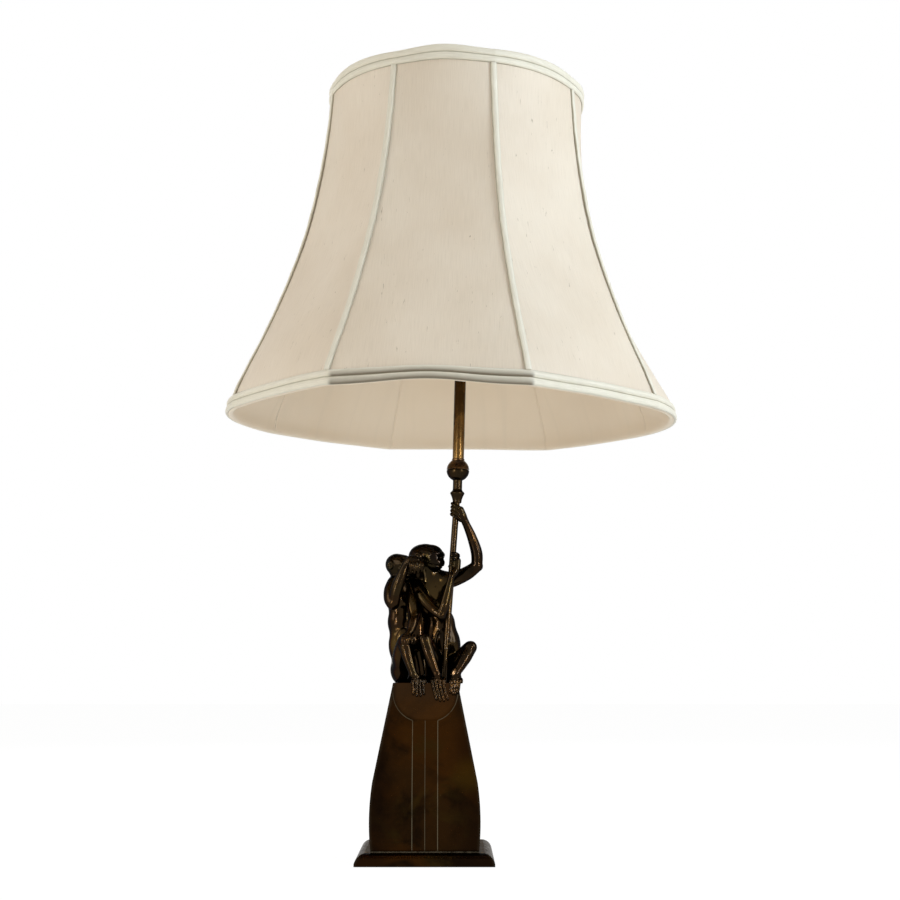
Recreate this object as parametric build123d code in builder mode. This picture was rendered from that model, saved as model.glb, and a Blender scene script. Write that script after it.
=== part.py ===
from build123d import *
from math import cos, degrees, radians, sin
import os

# Figural table lamp: two seated bronze monkeys on a tapered square plinth, a staff that carries
# the lampholder, and an eight-panel bell shade. Millimetres, +Z up, front towards -Y.
# The origin is the centre of the resting face under the foot.

# ---------------------------------------------------------------- driving dimensions
# foot and plinth
felt_thickness = 1.5
felt_proud = 0.5
foot_width = 134.0
foot_height = 11.8
foot_edge = 2.4
ovolo_width = 14.0
foot_plate = 4.0
foot_window = 50.0
base_plate_width = 122.0
base_plate_thickness = 2.0
plate_screw_inset = 9.0
plinth_height = 159.7
plinth_bottom = 104.0
plinth_belly = 107.0
plinth_belly_height = 31.0
plinth_knee = 101.8
plinth_knee_height = 65.0
plinth_top_width = 63.8
plinth_wall = 3.0
plinth_cap = 4.0
groove_width = 1.1
groove_depth = 0.6
groove_pitch = 12.3
bowl_radius = 34.0
bowl_drop = 7.0
flute_drop = 36.0
lug_radius = 6.0
lug_height = 14.0
screw_radius = 1.95
screw_head_radius = 3.6
screw_head = 2.4
screw_length = 10.0
# cord inlet and wiring
inlet_height = 25.0
inlet_bore = 3.2
bush_neck = 5.45
bush_flange = 7.5
bush_flange_thickness = 1.8
spot_face = 0.5
terminal_size = (20.0, 14.0, 10.0)
lead_radius = 1.4
# staff, knop, ball and tube
stem_y = -12.0
staff_foot_x = 17.6
staff_lean = 4.23
staff_radius = 3.2
staff_bore = 2.0
staff_length = 190.0
staff_tail = 14.0
nut_radius = 6.5
nut_height = 4.0
washer_radius = 8.0
washer_thickness = 1.2
tube_lean = 1.54
knop_radius = 6.95
neck_radius = 4.7
ball_radius = 11.5
ball_height = 24.0
ball_groove = 0.7
tube_radius = 5.85
tube_length = 146.5
tube_bore = 4.7
# lampholder and lamp
holder_radius = 16.5
holder_height = 40.0
holder_wall = 0.5
cap_height = 22.0
liner_thickness = 0.6
screw_shell_radius = 13.8
key_height = 28.0
key_radius = 2.2
key_length = 17.0
bulb_radius = 30.0
bulb_length = 84.0
bulb_cap_length = 24.0
glass_thickness = 0.8
# harp
harp_height = 226.0
harp_half = 30.0
harp_belly = 52.0
harp_wire_radius = 1.6
harp_offset = -11.7
saddle_thickness = 1.6
saddle_width = 12.0
ear_height = 14.0
ferrule_radius = 3.2
ferrule_length = 13.0
stud_radius = 3.1
stud_length = 16.0
collar_radius = 8.0
pad_radius = 7.0
pad_thickness = 2.4
pad_drop = 1.2
pad_gap = 0.1
rivet_radius = 5.4
rivet_height = 1.7
finial_radius = 8.5
finial_height = 26.0
finial_foot = 6.8
finial_waist = 3.9
# shade
shade_lean = 1.15
shade_turn = -6.0
shade_height = 345.3
hub_drop = 12.0
hub_radius = 12.5
hub_thickness = 2.8
arm_sink = 0.1
silk_thickness = 1.0
silk_gap = 0.3
lining_inset = 5.0
lining_thickness = 0.6
trim_height = 13.4
trim_depth = 1.9
seam_width = 6.5
seam_depth = 1.5
frame_wire = 1.5
side_half_angle = 21.3
front_half_angle_rim = 24.5
front_half_angle_top = 21.5
# rib radius and bulge of the panels beyond the straight line between two ribs,
# at fractions of the shade's height
shade_profile = [
    (0.00, 221.0, 19.5),
    (0.04, 219.5, 18.0),
    (0.10, 211.0, 14.5),
    (0.23, 190.5, 8.0),
    (0.37, 171.5, 3.2),
    (0.52, 154.8, 1.2),
    (0.68, 143.0, 2.0),
    (0.84, 135.0, 5.5),
    (1.00, 130.5, 10.0),
]
# clearances
slip = 0.05
seat = 0.15
loose = 0.3
# how a limb's end closes: reach and radius of its last rings, as shares of its own radius
end_round = [(0.6, 0.8), (0.95, 0.31)]
# stations of a round form, in degrees from one end to the other, and of a bent finger
egg_angles = [14, 35, 60, 90, 120, 145, 166]
grip_rings = [(0, 0.5), (0.07, 0.95), (0.27, 1), (0.5, 1), (0.73, 1), (0.93, 0.9), (1, 0.45)]

# ---------------------------------------------------------------- levels and planes
foot_bottom = felt_proud
foot_top = foot_bottom + foot_height
plinth_top = foot_top + plinth_height
plate_bottom = felt_thickness
plate_top = plate_bottom + base_plate_thickness
cavity_top = foot_top - foot_plate
cap_underside = plinth_top - plinth_cap


def leaning(origin, lean):
    """A plane square to an axis that leans towards +X by an angle in degrees."""
    tilt = radians(lean)
    return Plane(origin, x_dir=(cos(tilt), 0, -sin(tilt)), z_dir=(sin(tilt), 0, cos(tilt)))


def on_axis(plane, height, side=0.0, depth=0.0):
    """A point at a height up a plane's axis, to the side and behind it."""
    return plane.origin + plane.z_dir * height + plane.x_dir * side + plane.y_dir * depth


def upright(plane):
    """The upright section plane through a leaning axis: x to the side, y up the axis."""
    return Plane(plane.origin, x_dir=plane.x_dir, z_dir=plane.x_dir.cross(plane.z_dir))


staff = leaning((staff_foot_x, stem_y, plinth_top), staff_lean)
tube = leaning(on_axis(staff, staff_length), tube_lean)
tube_start = ball_height + ball_radius
tube_end = tube_start + tube_length
saddle = leaning(on_axis(tube, tube_end), tube_lean)
stud_seat = on_axis(saddle, harp_height, harp_offset)
stud = leaning(stud_seat, shade_lean)
hub_height = shade_height - hub_drop
shade = leaning(on_axis(stud, -hub_height), shade_lean)


def save(part, name):
    """Labels a finished piece and writes it under its own name."""
    part.label = name
    export_step(part, f"parts/{name}.step")


def turned(plane, outline):
    """A turned piece: an outline of (radius, height) points, closed and revolved."""
    with BuildPart() as piece:
        with BuildSketch(upright(plane)):
            with BuildLine():
                Polyline(*outline, close=True)
            make_face()
        revolve(axis=Axis(plane.origin, plane.z_dir))
    return piece.part


os.makedirs("parts", exist_ok=True)

# ---------------------------------------------------------------- foot
foot_half = foot_width / 2
ovolo_start = foot_half - ovolo_width
ovolo_rise = foot_height - foot_edge


def foot_section(plane):
    """Section of the foot: a short upright edge under a quarter-round that runs in to the plinth."""
    with BuildSketch(plane) as section:
        with BuildLine():
            Polyline((0, foot_bottom), (foot_half, foot_bottom), (foot_half, foot_bottom + foot_edge))
            ThreePointArc(
                (foot_half, foot_bottom + foot_edge),
                (ovolo_start + ovolo_width * 0.74, foot_bottom + foot_edge + ovolo_rise * 0.68),
                (ovolo_start, foot_top),
            )
            Polyline((ovolo_start, foot_top), (0, foot_top), (0, foot_bottom))
        make_face()
        mirror(about=Plane.YZ)
    return section.sketch


across = Plane.XZ.offset(-foot_half)
along = Plane.YZ.offset(-foot_half)
lug_spot = plinth_bottom / 2 - plinth_wall - lug_radius + 0.6
plate_screw_spot = base_plate_width / 2 - plate_screw_inset
plate_screws = [(plate_screw_spot, 0), (-plate_screw_spot, 0), (0, plate_screw_spot), (0, -plate_screw_spot)]
with BuildPart() as foot_casting:
    extrude(foot_section(across), amount=foot_width)
    extrude(foot_section(along), amount=foot_width, mode=Mode.INTERSECT)
    with BuildSketch(Plane.XY.offset(foot_bottom)):
        Rectangle(base_plate_width + 2 * loose, base_plate_width + 2 * loose)
    extrude(amount=plate_top - foot_bottom, mode=Mode.SUBTRACT)
    with BuildSketch(Plane.XY.offset(plate_top)):
        Rectangle(base_plate_width - 8, base_plate_width - 8)
        with Locations(*plate_screws):
            Circle(lug_radius, mode=Mode.SUBTRACT)
    extrude(amount=cavity_top - plate_top, mode=Mode.SUBTRACT)
    with BuildSketch(Plane.XY.offset(cavity_top)):
        Rectangle(foot_window, foot_window)
        with GridLocations(2 * lug_spot, 2 * lug_spot, 2, 2):
            Circle(screw_radius + seat)
    extrude(amount=foot_plate, mode=Mode.SUBTRACT)
    with BuildSketch(Plane.XY.offset(plate_top)):
        with Locations(*plate_screws):
            Circle(screw_radius + slip)
    extrude(amount=cavity_top - plate_top + 1.5, mode=Mode.SUBTRACT)
save(foot_casting.part, "foot_casting")

with BuildPart() as felt_pad:
    with BuildSketch():
        RectangleRounded(base_plate_width - 1.0, base_plate_width - 1.0, 3)
    extrude(amount=felt_thickness)
save(felt_pad.part, "felt_pad")

with BuildPart() as base_plate:
    with BuildSketch(Plane.XY.offset(plate_bottom)):
        Rectangle(base_plate_width, base_plate_width)
    extrude(amount=base_plate_thickness)
    with Locations(Plane.XY.offset(plate_bottom)):
        with Locations(*[Location((x, y, 0), (180, 0, 0)) for x, y in plate_screws]):
            CounterSinkHole(screw_radius + slip, screw_head_radius, depth=base_plate_thickness)
save(base_plate.part, "base_plate")

csk_depth = screw_head_radius - screw_radius
with BuildPart() as base_plate_screws:
    for x, y in plate_screws:
        spot = Plane((x, y, plate_bottom))
        add(turned(spot, [(0, 0.05), (screw_head_radius - 0.1, 0.05), (screw_radius, csk_depth), (screw_radius, 7), (0, 7)]))
save(base_plate_screws.part, "base_plate_screws")

# ---------------------------------------------------------------- plinth


def plinth_section(plane, inset, drop):
    """Half-section of the plinth: a slight belly low down, then a straight taper to the top."""
    half_widths = [w / 2 - inset for w in (plinth_bottom, plinth_belly, plinth_knee, plinth_top_width)]
    heights = [0, plinth_belly_height, plinth_knee_height, plinth_height - drop]
    taper = (half_widths[3] - half_widths[2]) / (plinth_height - plinth_knee_height)
    top_half = half_widths[2] + taper * (heights[3] - heights[2])
    low, belly, knee = [(w, foot_top + h) for w, h in zip(half_widths[:3], heights[:3])]
    top = (top_half, foot_top + heights[3])
    with BuildSketch(plane) as section:
        with BuildLine():
            ThreePointArc(low, belly, knee)
            Polyline(knee, top, (0, top[1]), (0, foot_top), low)
        make_face()
        mirror(about=Plane.YZ)
    return section.sketch


def plinth_form(inset, drop=0.0):
    """The plinth's outer form, or a form inset from it: two sections crossed, which mitre at the corners."""
    with BuildPart() as form:
        extrude(plinth_section(across, inset, drop), amount=foot_width)
        extrude(plinth_section(along, inset, drop), amount=foot_width, mode=Mode.INTERSECT)
    return form.part


plinth_outer = plinth_form(0)
plinth_inner = plinth_form(plinth_wall, plinth_cap)
inlet_line = Axis((0, 0, inlet_height), (0, 1, 0))
inlet_wall = max(point.Y for point, _ in plinth_outer.find_intersection_points(inlet_line))
figure_screw_spots = [(-24.0, 9.0), (10.0, 11.0), (23.0, 9.0)]

# front engraving: three flutes that rise to a bowl line, cut to an even depth in the curved face
bowl_centre = plinth_top - bowl_drop
flute_top = plinth_top - flute_drop
with BuildPart() as engraving:
    with BuildSketch(Plane.XZ.offset(foot_half)):
        with Locations((0, (foot_top + flute_top) / 2)):
            with GridLocations(groove_pitch, 1, 3, 1):
                Rectangle(groove_width, flute_top - foot_top)
        with Locations((0, flute_top)):
            Rectangle(2 * groove_pitch + groove_width, groove_width)
        with BuildLine():
            for sign in (-1, 1):
                start = (sign * groove_pitch, flute_top)
                end = (sign * bowl_radius * 0.93, bowl_centre + 2)
                bend = (sign * bowl_radius * 0.72, bowl_centre - bowl_radius * 0.62)
                ThreePointArc(start, bend, end)
        trace(line_width=groove_width)
    extrude(amount=-foot_half)
    add(plinth_outer.moved(Location((0, groove_depth, 0))), mode=Mode.SUBTRACT)

with BuildPart() as plinth_shell:
    add(plinth_outer)
    add(plinth_inner, mode=Mode.SUBTRACT)
    add(engraving.part, mode=Mode.SUBTRACT)
    # corner lugs for the screws that hold the plinth to the foot
    with BuildSketch(Plane.XY.offset(foot_top)):
        with GridLocations(2 * lug_spot, 2 * lug_spot, 2, 2):
            Circle(lug_radius)
    extrude(amount=lug_height)
    with BuildSketch(Plane.XY.offset(foot_top)):
        with GridLocations(2 * lug_spot, 2 * lug_spot, 2, 2):
            Circle(screw_radius + slip)
    extrude(amount=lug_height - 2, mode=Mode.SUBTRACT)
    # boss square to the leaning staff, and the staff's hole
    with BuildSketch(staff.offset(-plinth_cap - 3.0)):
        Circle(washer_radius + 1)
    extrude(amount=plinth_cap + 1.5)
    with BuildSketch(staff.offset(-plinth_cap - 6.0)):
        Circle(staff_radius + slip)
    extrude(amount=plinth_cap + 12, mode=Mode.SUBTRACT)
    # screw holes under the figures
    with BuildSketch(Plane.XY.offset(cap_underside - 1)):
        with Locations(*figure_screw_spots):
            Circle(screw_radius + seat)
    extrude(amount=plinth_cap + 2, mode=Mode.SUBTRACT)
    # cord inlet through the back wall
    with BuildSketch(Plane.XZ.offset(-foot_half)):
        with Locations((0, inlet_height)):
            Circle(bush_neck + slip)
    extrude(amount=foot_half - inlet_wall + plinth_wall + 8, mode=Mode.SUBTRACT)
    # spot face that the inlet's flange beds on
    with BuildSketch(Plane.XZ.offset(-inlet_wall + spot_face)):
        with Locations((0, inlet_height)):
            Circle(bush_flange + loose)
    extrude(amount=-foot_half, mode=Mode.SUBTRACT)
save(plinth_shell.part, "plinth_shell")


def pan_screw(plane, length):
    """A pan-head screw whose head lies under the plane and whose shank runs up through it."""
    return turned(
        plane,
        [
            (0, -screw_head),
            (screw_head_radius - 0.8, -screw_head),
            (screw_head_radius, -screw_head + 0.8),
            (screw_head_radius, 0),
            (screw_radius, 0),
            (screw_radius, length),
            (0, length),
        ],
    )


with BuildPart() as plinth_screws:
    for spot in GridLocations(2 * lug_spot, 2 * lug_spot, 2, 2):
        corner = spot.position
        add(pan_screw(Plane((corner.X, corner.Y, cavity_top)), foot_plate + screw_length))
save(plinth_screws.part, "plinth_screws")

with BuildPart() as figure_screws:
    for x, y in figure_screw_spots:
        add(pan_screw(Plane((x, y, cap_underside)), plinth_cap + screw_length - 2))
save(figure_screws.part, "figure_screws")

# ---------------------------------------------------------------- cord inlet and terminals
inlet_axis = Plane((0, inlet_wall, inlet_height), x_dir=(1, 0, 0), z_dir=(0, 1, 0))
bush_seat = slip - spot_face
bush_inner = -plinth_wall - 2 * loose - bush_flange_thickness
bush_outer = bush_seat + bush_flange_thickness
with BuildPart() as cord_bush:
    add(
        turned(
            inlet_axis,
            [
                (inlet_bore, bush_inner),
                (bush_flange, bush_inner),
                (bush_flange, bush_inner + bush_flange_thickness),
                (bush_neck, bush_inner + bush_flange_thickness),
                (bush_neck, bush_seat),
                (bush_flange, bush_seat),
                (bush_flange - 0.8, bush_outer),
                (inlet_bore, bush_outer),
            ],
        )
    )
save(cord_bush.part, "cord_bush")

terminal_y = foot_window / 2 + terminal_size[1] / 2 + 3
with BuildPart() as terminal_block:
    with BuildSketch(Plane.XY.offset(foot_top)):
        with Locations((0, terminal_y)):
            Rectangle(terminal_size[0], terminal_size[1])
    extrude(amount=terminal_size[2])
    fillet(terminal_block.edges().filter_by(Axis.Z), 1.5)
    with BuildSketch(Plane.XY.offset(foot_top + terminal_size[2])):
        with Locations((0, terminal_y)):
            with GridLocations(10, 1, 2, 1):
                Circle(2.2)
    extrude(amount=-6, mode=Mode.SUBTRACT)
save(terminal_block.part, "terminal_block")

with BuildPart() as terminal_screws:
    for side in (-5, 5):
        grub = Plane((side, terminal_y, foot_top + terminal_size[2] - 6))
        add(turned(grub, [(0, 0), (2.1, 0), (2.1, 4), (0, 4)]))
save(terminal_screws.part, "terminal_screws")

# ---------------------------------------------------------------- staff, knop, ball, tube
with BuildPart() as staff_rod:
    with BuildSketch(staff.offset(-staff_tail)):
        Circle(staff_radius)
        Circle(staff_bore, mode=Mode.SUBTRACT)
    extrude(amount=staff_tail + staff_length - 2)
save(staff_rod.part, "staff_rod")

washer_level = -plinth_cap - 3.0 - washer_thickness
with BuildPart() as staff_washer:
    with BuildSketch(staff.offset(washer_level)):
        Circle(washer_radius)
        Circle(staff_radius + slip, mode=Mode.SUBTRACT)
    extrude(amount=washer_thickness)
save(staff_washer.part, "staff_washer")

with BuildPart() as staff_nut:
    with BuildSketch(staff.offset(washer_level - nut_height)):
        RegularPolygon(nut_radius, 6)
        Circle(staff_radius + slip, mode=Mode.SUBTRACT)
    extrude(amount=nut_height)
save(staff_nut.part, "staff_nut")

with BuildPart() as staff_knop:
    with BuildSketch(upright(tube)):
        with BuildLine():
            knop_foot = (staff_radius + 1.2, -8.6)
            knop_low = (knop_radius, -0.6)
            knop_high = (knop_radius - 0.2, 1.6)
            neck_low = (neck_radius, 5.2)
            Polyline((0, -9.5), (staff_radius + 0.9, -9.5), knop_foot)
            ThreePointArc(knop_foot, (staff_radius + 2.0, -4.6), knop_low)
            ThreePointArc(knop_low, (knop_radius + 0.25, 0.5), knop_high)
            ThreePointArc(knop_high, (neck_radius + 0.6, 3.0), neck_low)
            Line(neck_low, (neck_radius, ball_height - ball_radius + 1.2))
            neck_line = (neck_radius, ball_height - ball_radius + 1.2)
            ball_low = (ball_radius, ball_height - ball_groove)
            ThreePointArc(
                neck_line,
                (ball_radius * 0.80, ball_height - ball_radius * 0.60),
                ball_low,
            )
            Polyline(ball_low, (ball_radius - ball_groove, ball_height), (0, ball_height), (0, -9.5))
        make_face()
    revolve(axis=Axis(tube.origin, tube.z_dir))
    with BuildSketch(staff.offset(staff_length - 14)):
        Circle(staff_radius + slip)
    extrude(amount=14, mode=Mode.SUBTRACT)
    with BuildSketch(tube.offset(-3)):
        Circle(staff_bore + 0.4)
    extrude(amount=ball_height + 4, mode=Mode.SUBTRACT)
    with BuildSketch(tube.offset(ball_height - 7)):
        Circle(tube_bore)
    extrude(amount=8, mode=Mode.SUBTRACT)
save(staff_knop.part, "staff_knop")

with BuildPart() as ball_upper:
    with BuildSketch(upright(tube)):
        with BuildLine():
            ball_high = (ball_radius, ball_height + ball_groove)
            ball_end = (tube_radius + 0.6, ball_height + ball_radius - 1.7)
            Polyline((0, ball_height), (ball_radius - ball_groove, ball_height), ball_high)
            ThreePointArc(
                ball_high,
                (ball_radius * 0.86, ball_height + ball_radius * 0.51),
                ball_end,
            )
            Polyline(
                ball_end,
                (tube_radius + 0.6, tube_start - slip),
                (0, tube_start - slip),
                (0, ball_height),
            )
        make_face()
    revolve(axis=Axis(tube.origin, tube.z_dir))
    with BuildSketch(tube.offset(ball_height - 1)):
        Circle(tube_bore)
    extrude(amount=ball_radius + 4, mode=Mode.SUBTRACT)
save(ball_upper.part, "ball_upper")


def nipple(low, high):
    """A threaded nipple: a short tube that joins two turned pieces on the tube's axis."""
    with BuildPart() as piece:
        with BuildSketch(tube.offset(low)):
            Circle(tube_bore - slip)
            Circle(staff_bore + 0.5, mode=Mode.SUBTRACT)
        extrude(amount=high - low)
    return piece.part


save(nipple(ball_height - 6.8, tube_start + 9), "ball_nipple")
save(nipple(tube_end - 9, tube_end + saddle_thickness + 9), "holder_nipple")

with BuildPart() as upper_tube:
    with BuildSketch(tube.offset(tube_start)):
        Circle(tube_radius)
        Circle(tube_bore, mode=Mode.SUBTRACT)
    extrude(amount=tube_length)
    chamfer(upper_tube.edges().filter_by(GeomType.CIRCLE).group_by(SortBy.RADIUS)[-1], 0.4)
save(upper_tube.part, "upper_tube")

# ---------------------------------------------------------------- figures


def perch(x, y, z):
    """A point of a figure, with its height counted from the plinth's top."""
    return Vector(x, y, plinth_top + z)


def ringed(rings, side):
    """A form through circles along a route: each ring is a centre and a radius, square to the route."""
    centres = [centre for centre, _ in rings]
    with BuildPart() as piece:
        for index, (centre, radius) in enumerate(rings):
            back = centres[max(index - 1, 0)]
            fore = centres[min(index + 1, len(rings) - 1)]
            route = (fore - back).normalized()
            with BuildSketch(Plane(centre, x_dir=side.cross(route), z_dir=route)):
                Circle(radius)
        loft(ruled=True)
    return piece.part


def limb(points, radii, side=(0, 1, 0)):
    """A limb, a finger or a toe: it swells and tapers along its bones and is rounded at both ends."""
    points = [perch(*point) for point in points]
    first = (points[0] - points[1]).normalized()
    last = (points[-1] - points[-2]).normalized()
    ahead = [(points[0] + first * radii[0] * reach, radii[0] * share) for reach, share in reversed(end_round)]
    after = [(points[-1] + last * radii[-1] * reach, radii[-1] * share) for reach, share in end_round]
    return ringed(ahead + list(zip(points, radii)) + after, Vector(*side))


def trunk(rings):
    """A seated body: level ellipses from the seat to the neck."""
    with BuildPart() as piece:
        for x, y, z, across_radius, deep_radius in rings:
            with BuildSketch(Plane(perch(x, y, z))):
                Ellipse(across_radius, deep_radius)
        loft(ruled=True)
    return piece.part


def egg(centre, direction, half_length, radius):
    """A round form, long or flat along one direction: a skull, a muzzle, a palm or an ear."""
    along_axis = Vector(*direction).normalized()
    rings = []
    for angle in egg_angles:
        offset = -half_length * cos(radians(angle))
        rings.append((perch(*centre) + along_axis * offset, radius * sin(radians(angle))))
    return ringed(rings, Vector(0.2, 0.3, 1))


def grip(height, start, turn, finger):
    """A finger bent round the staff, from one direction through a turn in degrees."""
    reach = staff_radius + seat + finger * 0.85
    rings = []
    for share, swell in grip_rings:
        angle = radians(start + share * turn)
        rings.append((on_axis(staff, height, reach * cos(angle), reach * sin(angle)), finger * swell))
    return ringed(rings, staff.z_dir)


def foot_over_edge(ankle, heel, toes, tips, tip_level, radius):
    """A foot on the plinth's edge, with four long toes that hang down its front face."""
    front = plinth_top_width / 2
    fall = (plinth_knee - plinth_top_width) / 2 / (plinth_height - plinth_knee_height)
    pieces = [limb([ankle, ((toes[0] + toes[1]) / 2, -front + 4, 4.6)], [radius * 2.0, radius * 2.3], side=(1, 0, 0))]
    pieces.append(egg(heel, (1, 0, 0), radius * 2.1, radius * 2.1))
    for step in range(4):
        share = step / 3
        root = toes[0] + share * (toes[1] - toes[0])
        tip = tips[0] + share * (tips[1] - tips[0])
        bone = [(root, -front + 3, 4.0 + radius)]
        bone.append((root + (tip - root) * 0.15, -front - radius * 0.9, 1.2))
        for part, drop in ((0.6, tip_level * 0.5), (1.0, tip_level)):
            bone.append((root + (tip - root) * part, -front + fall * drop - radius * 0.9, drop))
        pieces.append(limb(bone, [radius, radius * 1.08, radius * 0.92, radius * 0.85], side=(1, 0, 0)))
    return pieces


staff_envelope = extrude(
    staff.offset(-2) * Circle(staff_radius + slip, mode=Mode.PRIVATE), amount=staff_length, mode=Mode.PRIVATE
)
figure_screw_holes = [
    Location((x, y, plinth_top + 4.5)) * Cylinder(screw_radius + slip, 9.0, mode=Mode.PRIVATE)
    for x, y in figure_screw_spots
]

right_trunk = trunk(
    [
        (18.5, 8, 0, 15.0, 16.5),
        (19.5, 8.5, 16, 16.0, 16.0),
        (19.5, 9, 36, 14.0, 12.8),
        (16.5, 9, 54, 12.5, 11.2),
        (11.5, 8.5, 72, 14.5, 11.5),
        (6.5, 7.5, 87, 16.5, 11.2),
        (4.0, 6.5, 97, 14.0, 9.0),
        (2.5, 5.0, 106, 7.5, 7.0),
        (1.5, 4.0, 119, 6.5, 6.5),
    ]
)
right_head = [
    egg((-1.0, 2.0, 126.5), (0.85, -0.35, -0.12), 14.0, 12.0),
    egg((11.5, -6.5, 119.0), (0.85, -0.45, -0.25), 9.0, 6.9),
    egg((12.6, -8.8, 113.2), (0.80, -0.55, -0.12), 6.2, 4.0),
    limb([(1.0, -11.0, 129.0), (8.0, -10.5, 130.5), (13.5, -4.5, 129.0)], [2.4, 2.8, 2.2]),
    egg((-6.0, -9.5, 122.0), (-0.35, -0.92, 0.1), 1.9, 4.4),
    egg((9.0, 10.5, 124.0), (0.5, 0.85, 0.1), 1.9, 4.4),
]
right_arms = [
    limb([(-8.5, 0, 95), (-3, -11, 83), (7, -20, 71), (15.5, -24, 65.5)], [6.4, 5.8, 4.8, 4.5]),
    limb([(15.5, -24, 65.5), (21, -23.2, 77), (24.5, -21.0, 92), (29.0, -17.0, 107)], [3.8, 4.4, 3.6, 2.8]),
    egg((31.6, -13.2, 115.0), (0.25, 0.35, 0.9), 6.2, 3.6),
    limb([(22, 3, 99), (31, 1, 103), (43, -2, 110), (53.0, -4, 118)], [7.2, 6.6, 6.0, 5.6]),
    limb([(53.0, -4, 118), (52, -5.5, 132), (46.5, -8, 148), (38.0, -12, 163)], [4.7, 5.5, 4.3, 3.1]),
    egg((35.6, -13.5, 168.0), (-0.55, -0.1, 0.8), 5.6, 3.4),
]
right_legs = [
    limb([(10, 2, 12), (5, -12, 27), (-1.0, -25.0, 43.5)], [9.5, 7.8, 5.8], side=(1, 0, 0)),
    limb([(-1.0, -25.0, 43.5), (3.5, -28.5, 27), (9.5, -30.5, 9)], [4.9, 4.8, 3.4], side=(1, 0, 0)),
    limb([(26, 2, 13), (37, -10, 26), (44.0, -20, 36.0)], [9.5, 7.6, 5.6], side=(1, 0, 0)),
    limb([(44.0, -20, 36.0), (38.0, -26, 23), (29.0, -31, 10)], [4.7, 4.6, 3.6], side=(1, 0, 0)),
]
with BuildPart() as monkey_right:
    add(right_trunk)
    add(right_head)
    add(right_arms)
    add(right_legs)
    add(foot_over_edge((10, -30.5, 8), (7, -25, 4.4), (3.5, 13.0), (7.0, 17.5), -15.5, 1.7))
    add(foot_over_edge((29, -31, 9), (32, -25.5, 4.4), (24.5, 33.0), (23.5, 31.5), -9.5, 1.6))
    # both hands hold the staff, four fingers each
    for step in range(4):
        add(grip(115.0 + 3.0 * step, 20, 165, 1.55))
        add(grip(168.0 + 3.0 * step, -15, -170, 1.55))
    add(staff_envelope, mode=Mode.SUBTRACT)
    add(plinth_form(-slip), mode=Mode.SUBTRACT)
    add(figure_screw_holes, mode=Mode.SUBTRACT)
save(monkey_right.part, "monkey_right")

left_trunk = trunk(
    [
        (-23.5, 8, 0, 15.5, 17.5),
        (-24.0, 8.5, 18, 15.5, 17.0),
        (-26.0, 9, 38, 13.5, 14.0),
        (-27.0, 9, 63, 12.8, 12.6),
        (-26.5, 8.5, 83, 13.5, 12.0),
        (-27.0, 8, 98, 11.5, 9.8),
        (-28.0, 7, 107, 7.0, 6.8),
        (-28.5, 7, 116, 6.5, 6.5),
    ]
)
left_head = [
    egg((-29.5, 7.0, 117.0), (0.75, -0.5, -0.2), 13.2, 12.0),
    egg((-19.0, -1.0, 109.0), (0.8, -0.55, -0.3), 8.6, 6.6),
    egg((-17.0, -3.0, 104.5), (0.8, -0.55, -0.3), 5.6, 4.2),
    limb([(-29.0, -6.0, 119.5), (-22.0, -6.0, 120.5), (-16.0, -0.5, 119.5)], [2.2, 2.6, 2.2]),
    egg((-35.5, -3.0, 114.0), (-0.6, -0.78, 0.1), 1.9, 4.6),
]
left_arms = [
    limb([(-32, 1, 99), (-35.5, -4, 86), (-34.5, -10, 75), (-31.5, -14, 71)], [7.0, 6.4, 5.6, 4.9]),
    limb([(-31.5, -14, 71), (-28, -16.5, 86), (-24, -18, 102), (-19.5, -18.5, 118.5)], [4.2, 5.0, 4.0, 3.0]),
    egg((-15.0, -18.0, 121.0), (0.9, 0, 0.15), 6.0, 3.8),
    limb([(-17, 1, 95), (-13.5, -8, 80), (-12.5, -14, 66)], [6.0, 5.2, 4.4]),
    limb([(-12.5, -14, 66), (-14, -20, 58), (-17, -23, 50)], [3.5, 3.5, 2.9]),
]
left_fingers = [
    limb([(x, -19, 121), (x + 2.6, -21.5, 117), (x + 3.4, -21.5, 110)], [1.7, 1.6, 1.3]) for x in (-15.5, -12.4, -9.3, -6.4)
]
left_legs = [
    limb([(-27, 2, 13), (-25, -12, 28), (-21.5, -24, 41.0)], [10.5, 8.2, 5.8], side=(1, 0, 0)),
    limb([(-21.5, -24, 41.0), (-18.5, -28, 25), (-12.0, -30.5, 9)], [4.9, 4.6, 3.3], side=(1, 0, 0)),
    limb([(-16, 2, 12), (-10, -10, 24), (-7.5, -18, 33.0)], [8.5, 6.4, 4.8], side=(1, 0, 0)),
]
with BuildPart() as monkey_left:
    add(left_trunk)
    add(left_head)
    add(left_arms)
    add(left_fingers)
    add(left_legs)
    add(foot_over_edge((-12, -30.5, 8), (-14.5, -25, 4.4), (-11.5, -2.5), (-11.0, -1.0), -11.0, 1.7))
    add(monkey_right.part, mode=Mode.SUBTRACT)
    add(plinth_form(-slip), mode=Mode.SUBTRACT)
    add(figure_screw_holes, mode=Mode.SUBTRACT)
save(monkey_left.part, "monkey_left")

# ---------------------------------------------------------------- lampholder
cap_start = saddle_thickness + slip
cap_rim = cap_start + cap_height
shell_start = cap_rim - 6.0
shell_end = shell_start + holder_height
liner_radius = holder_radius - holder_wall - slip
liner_start = shell_start + 2.0
liner_end = shell_end - 1.5
body_start = liner_start + 1.0
body_radius = liner_radius - liner_thickness - slip
body_height = 12.0
contact_level = body_start + body_height

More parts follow.
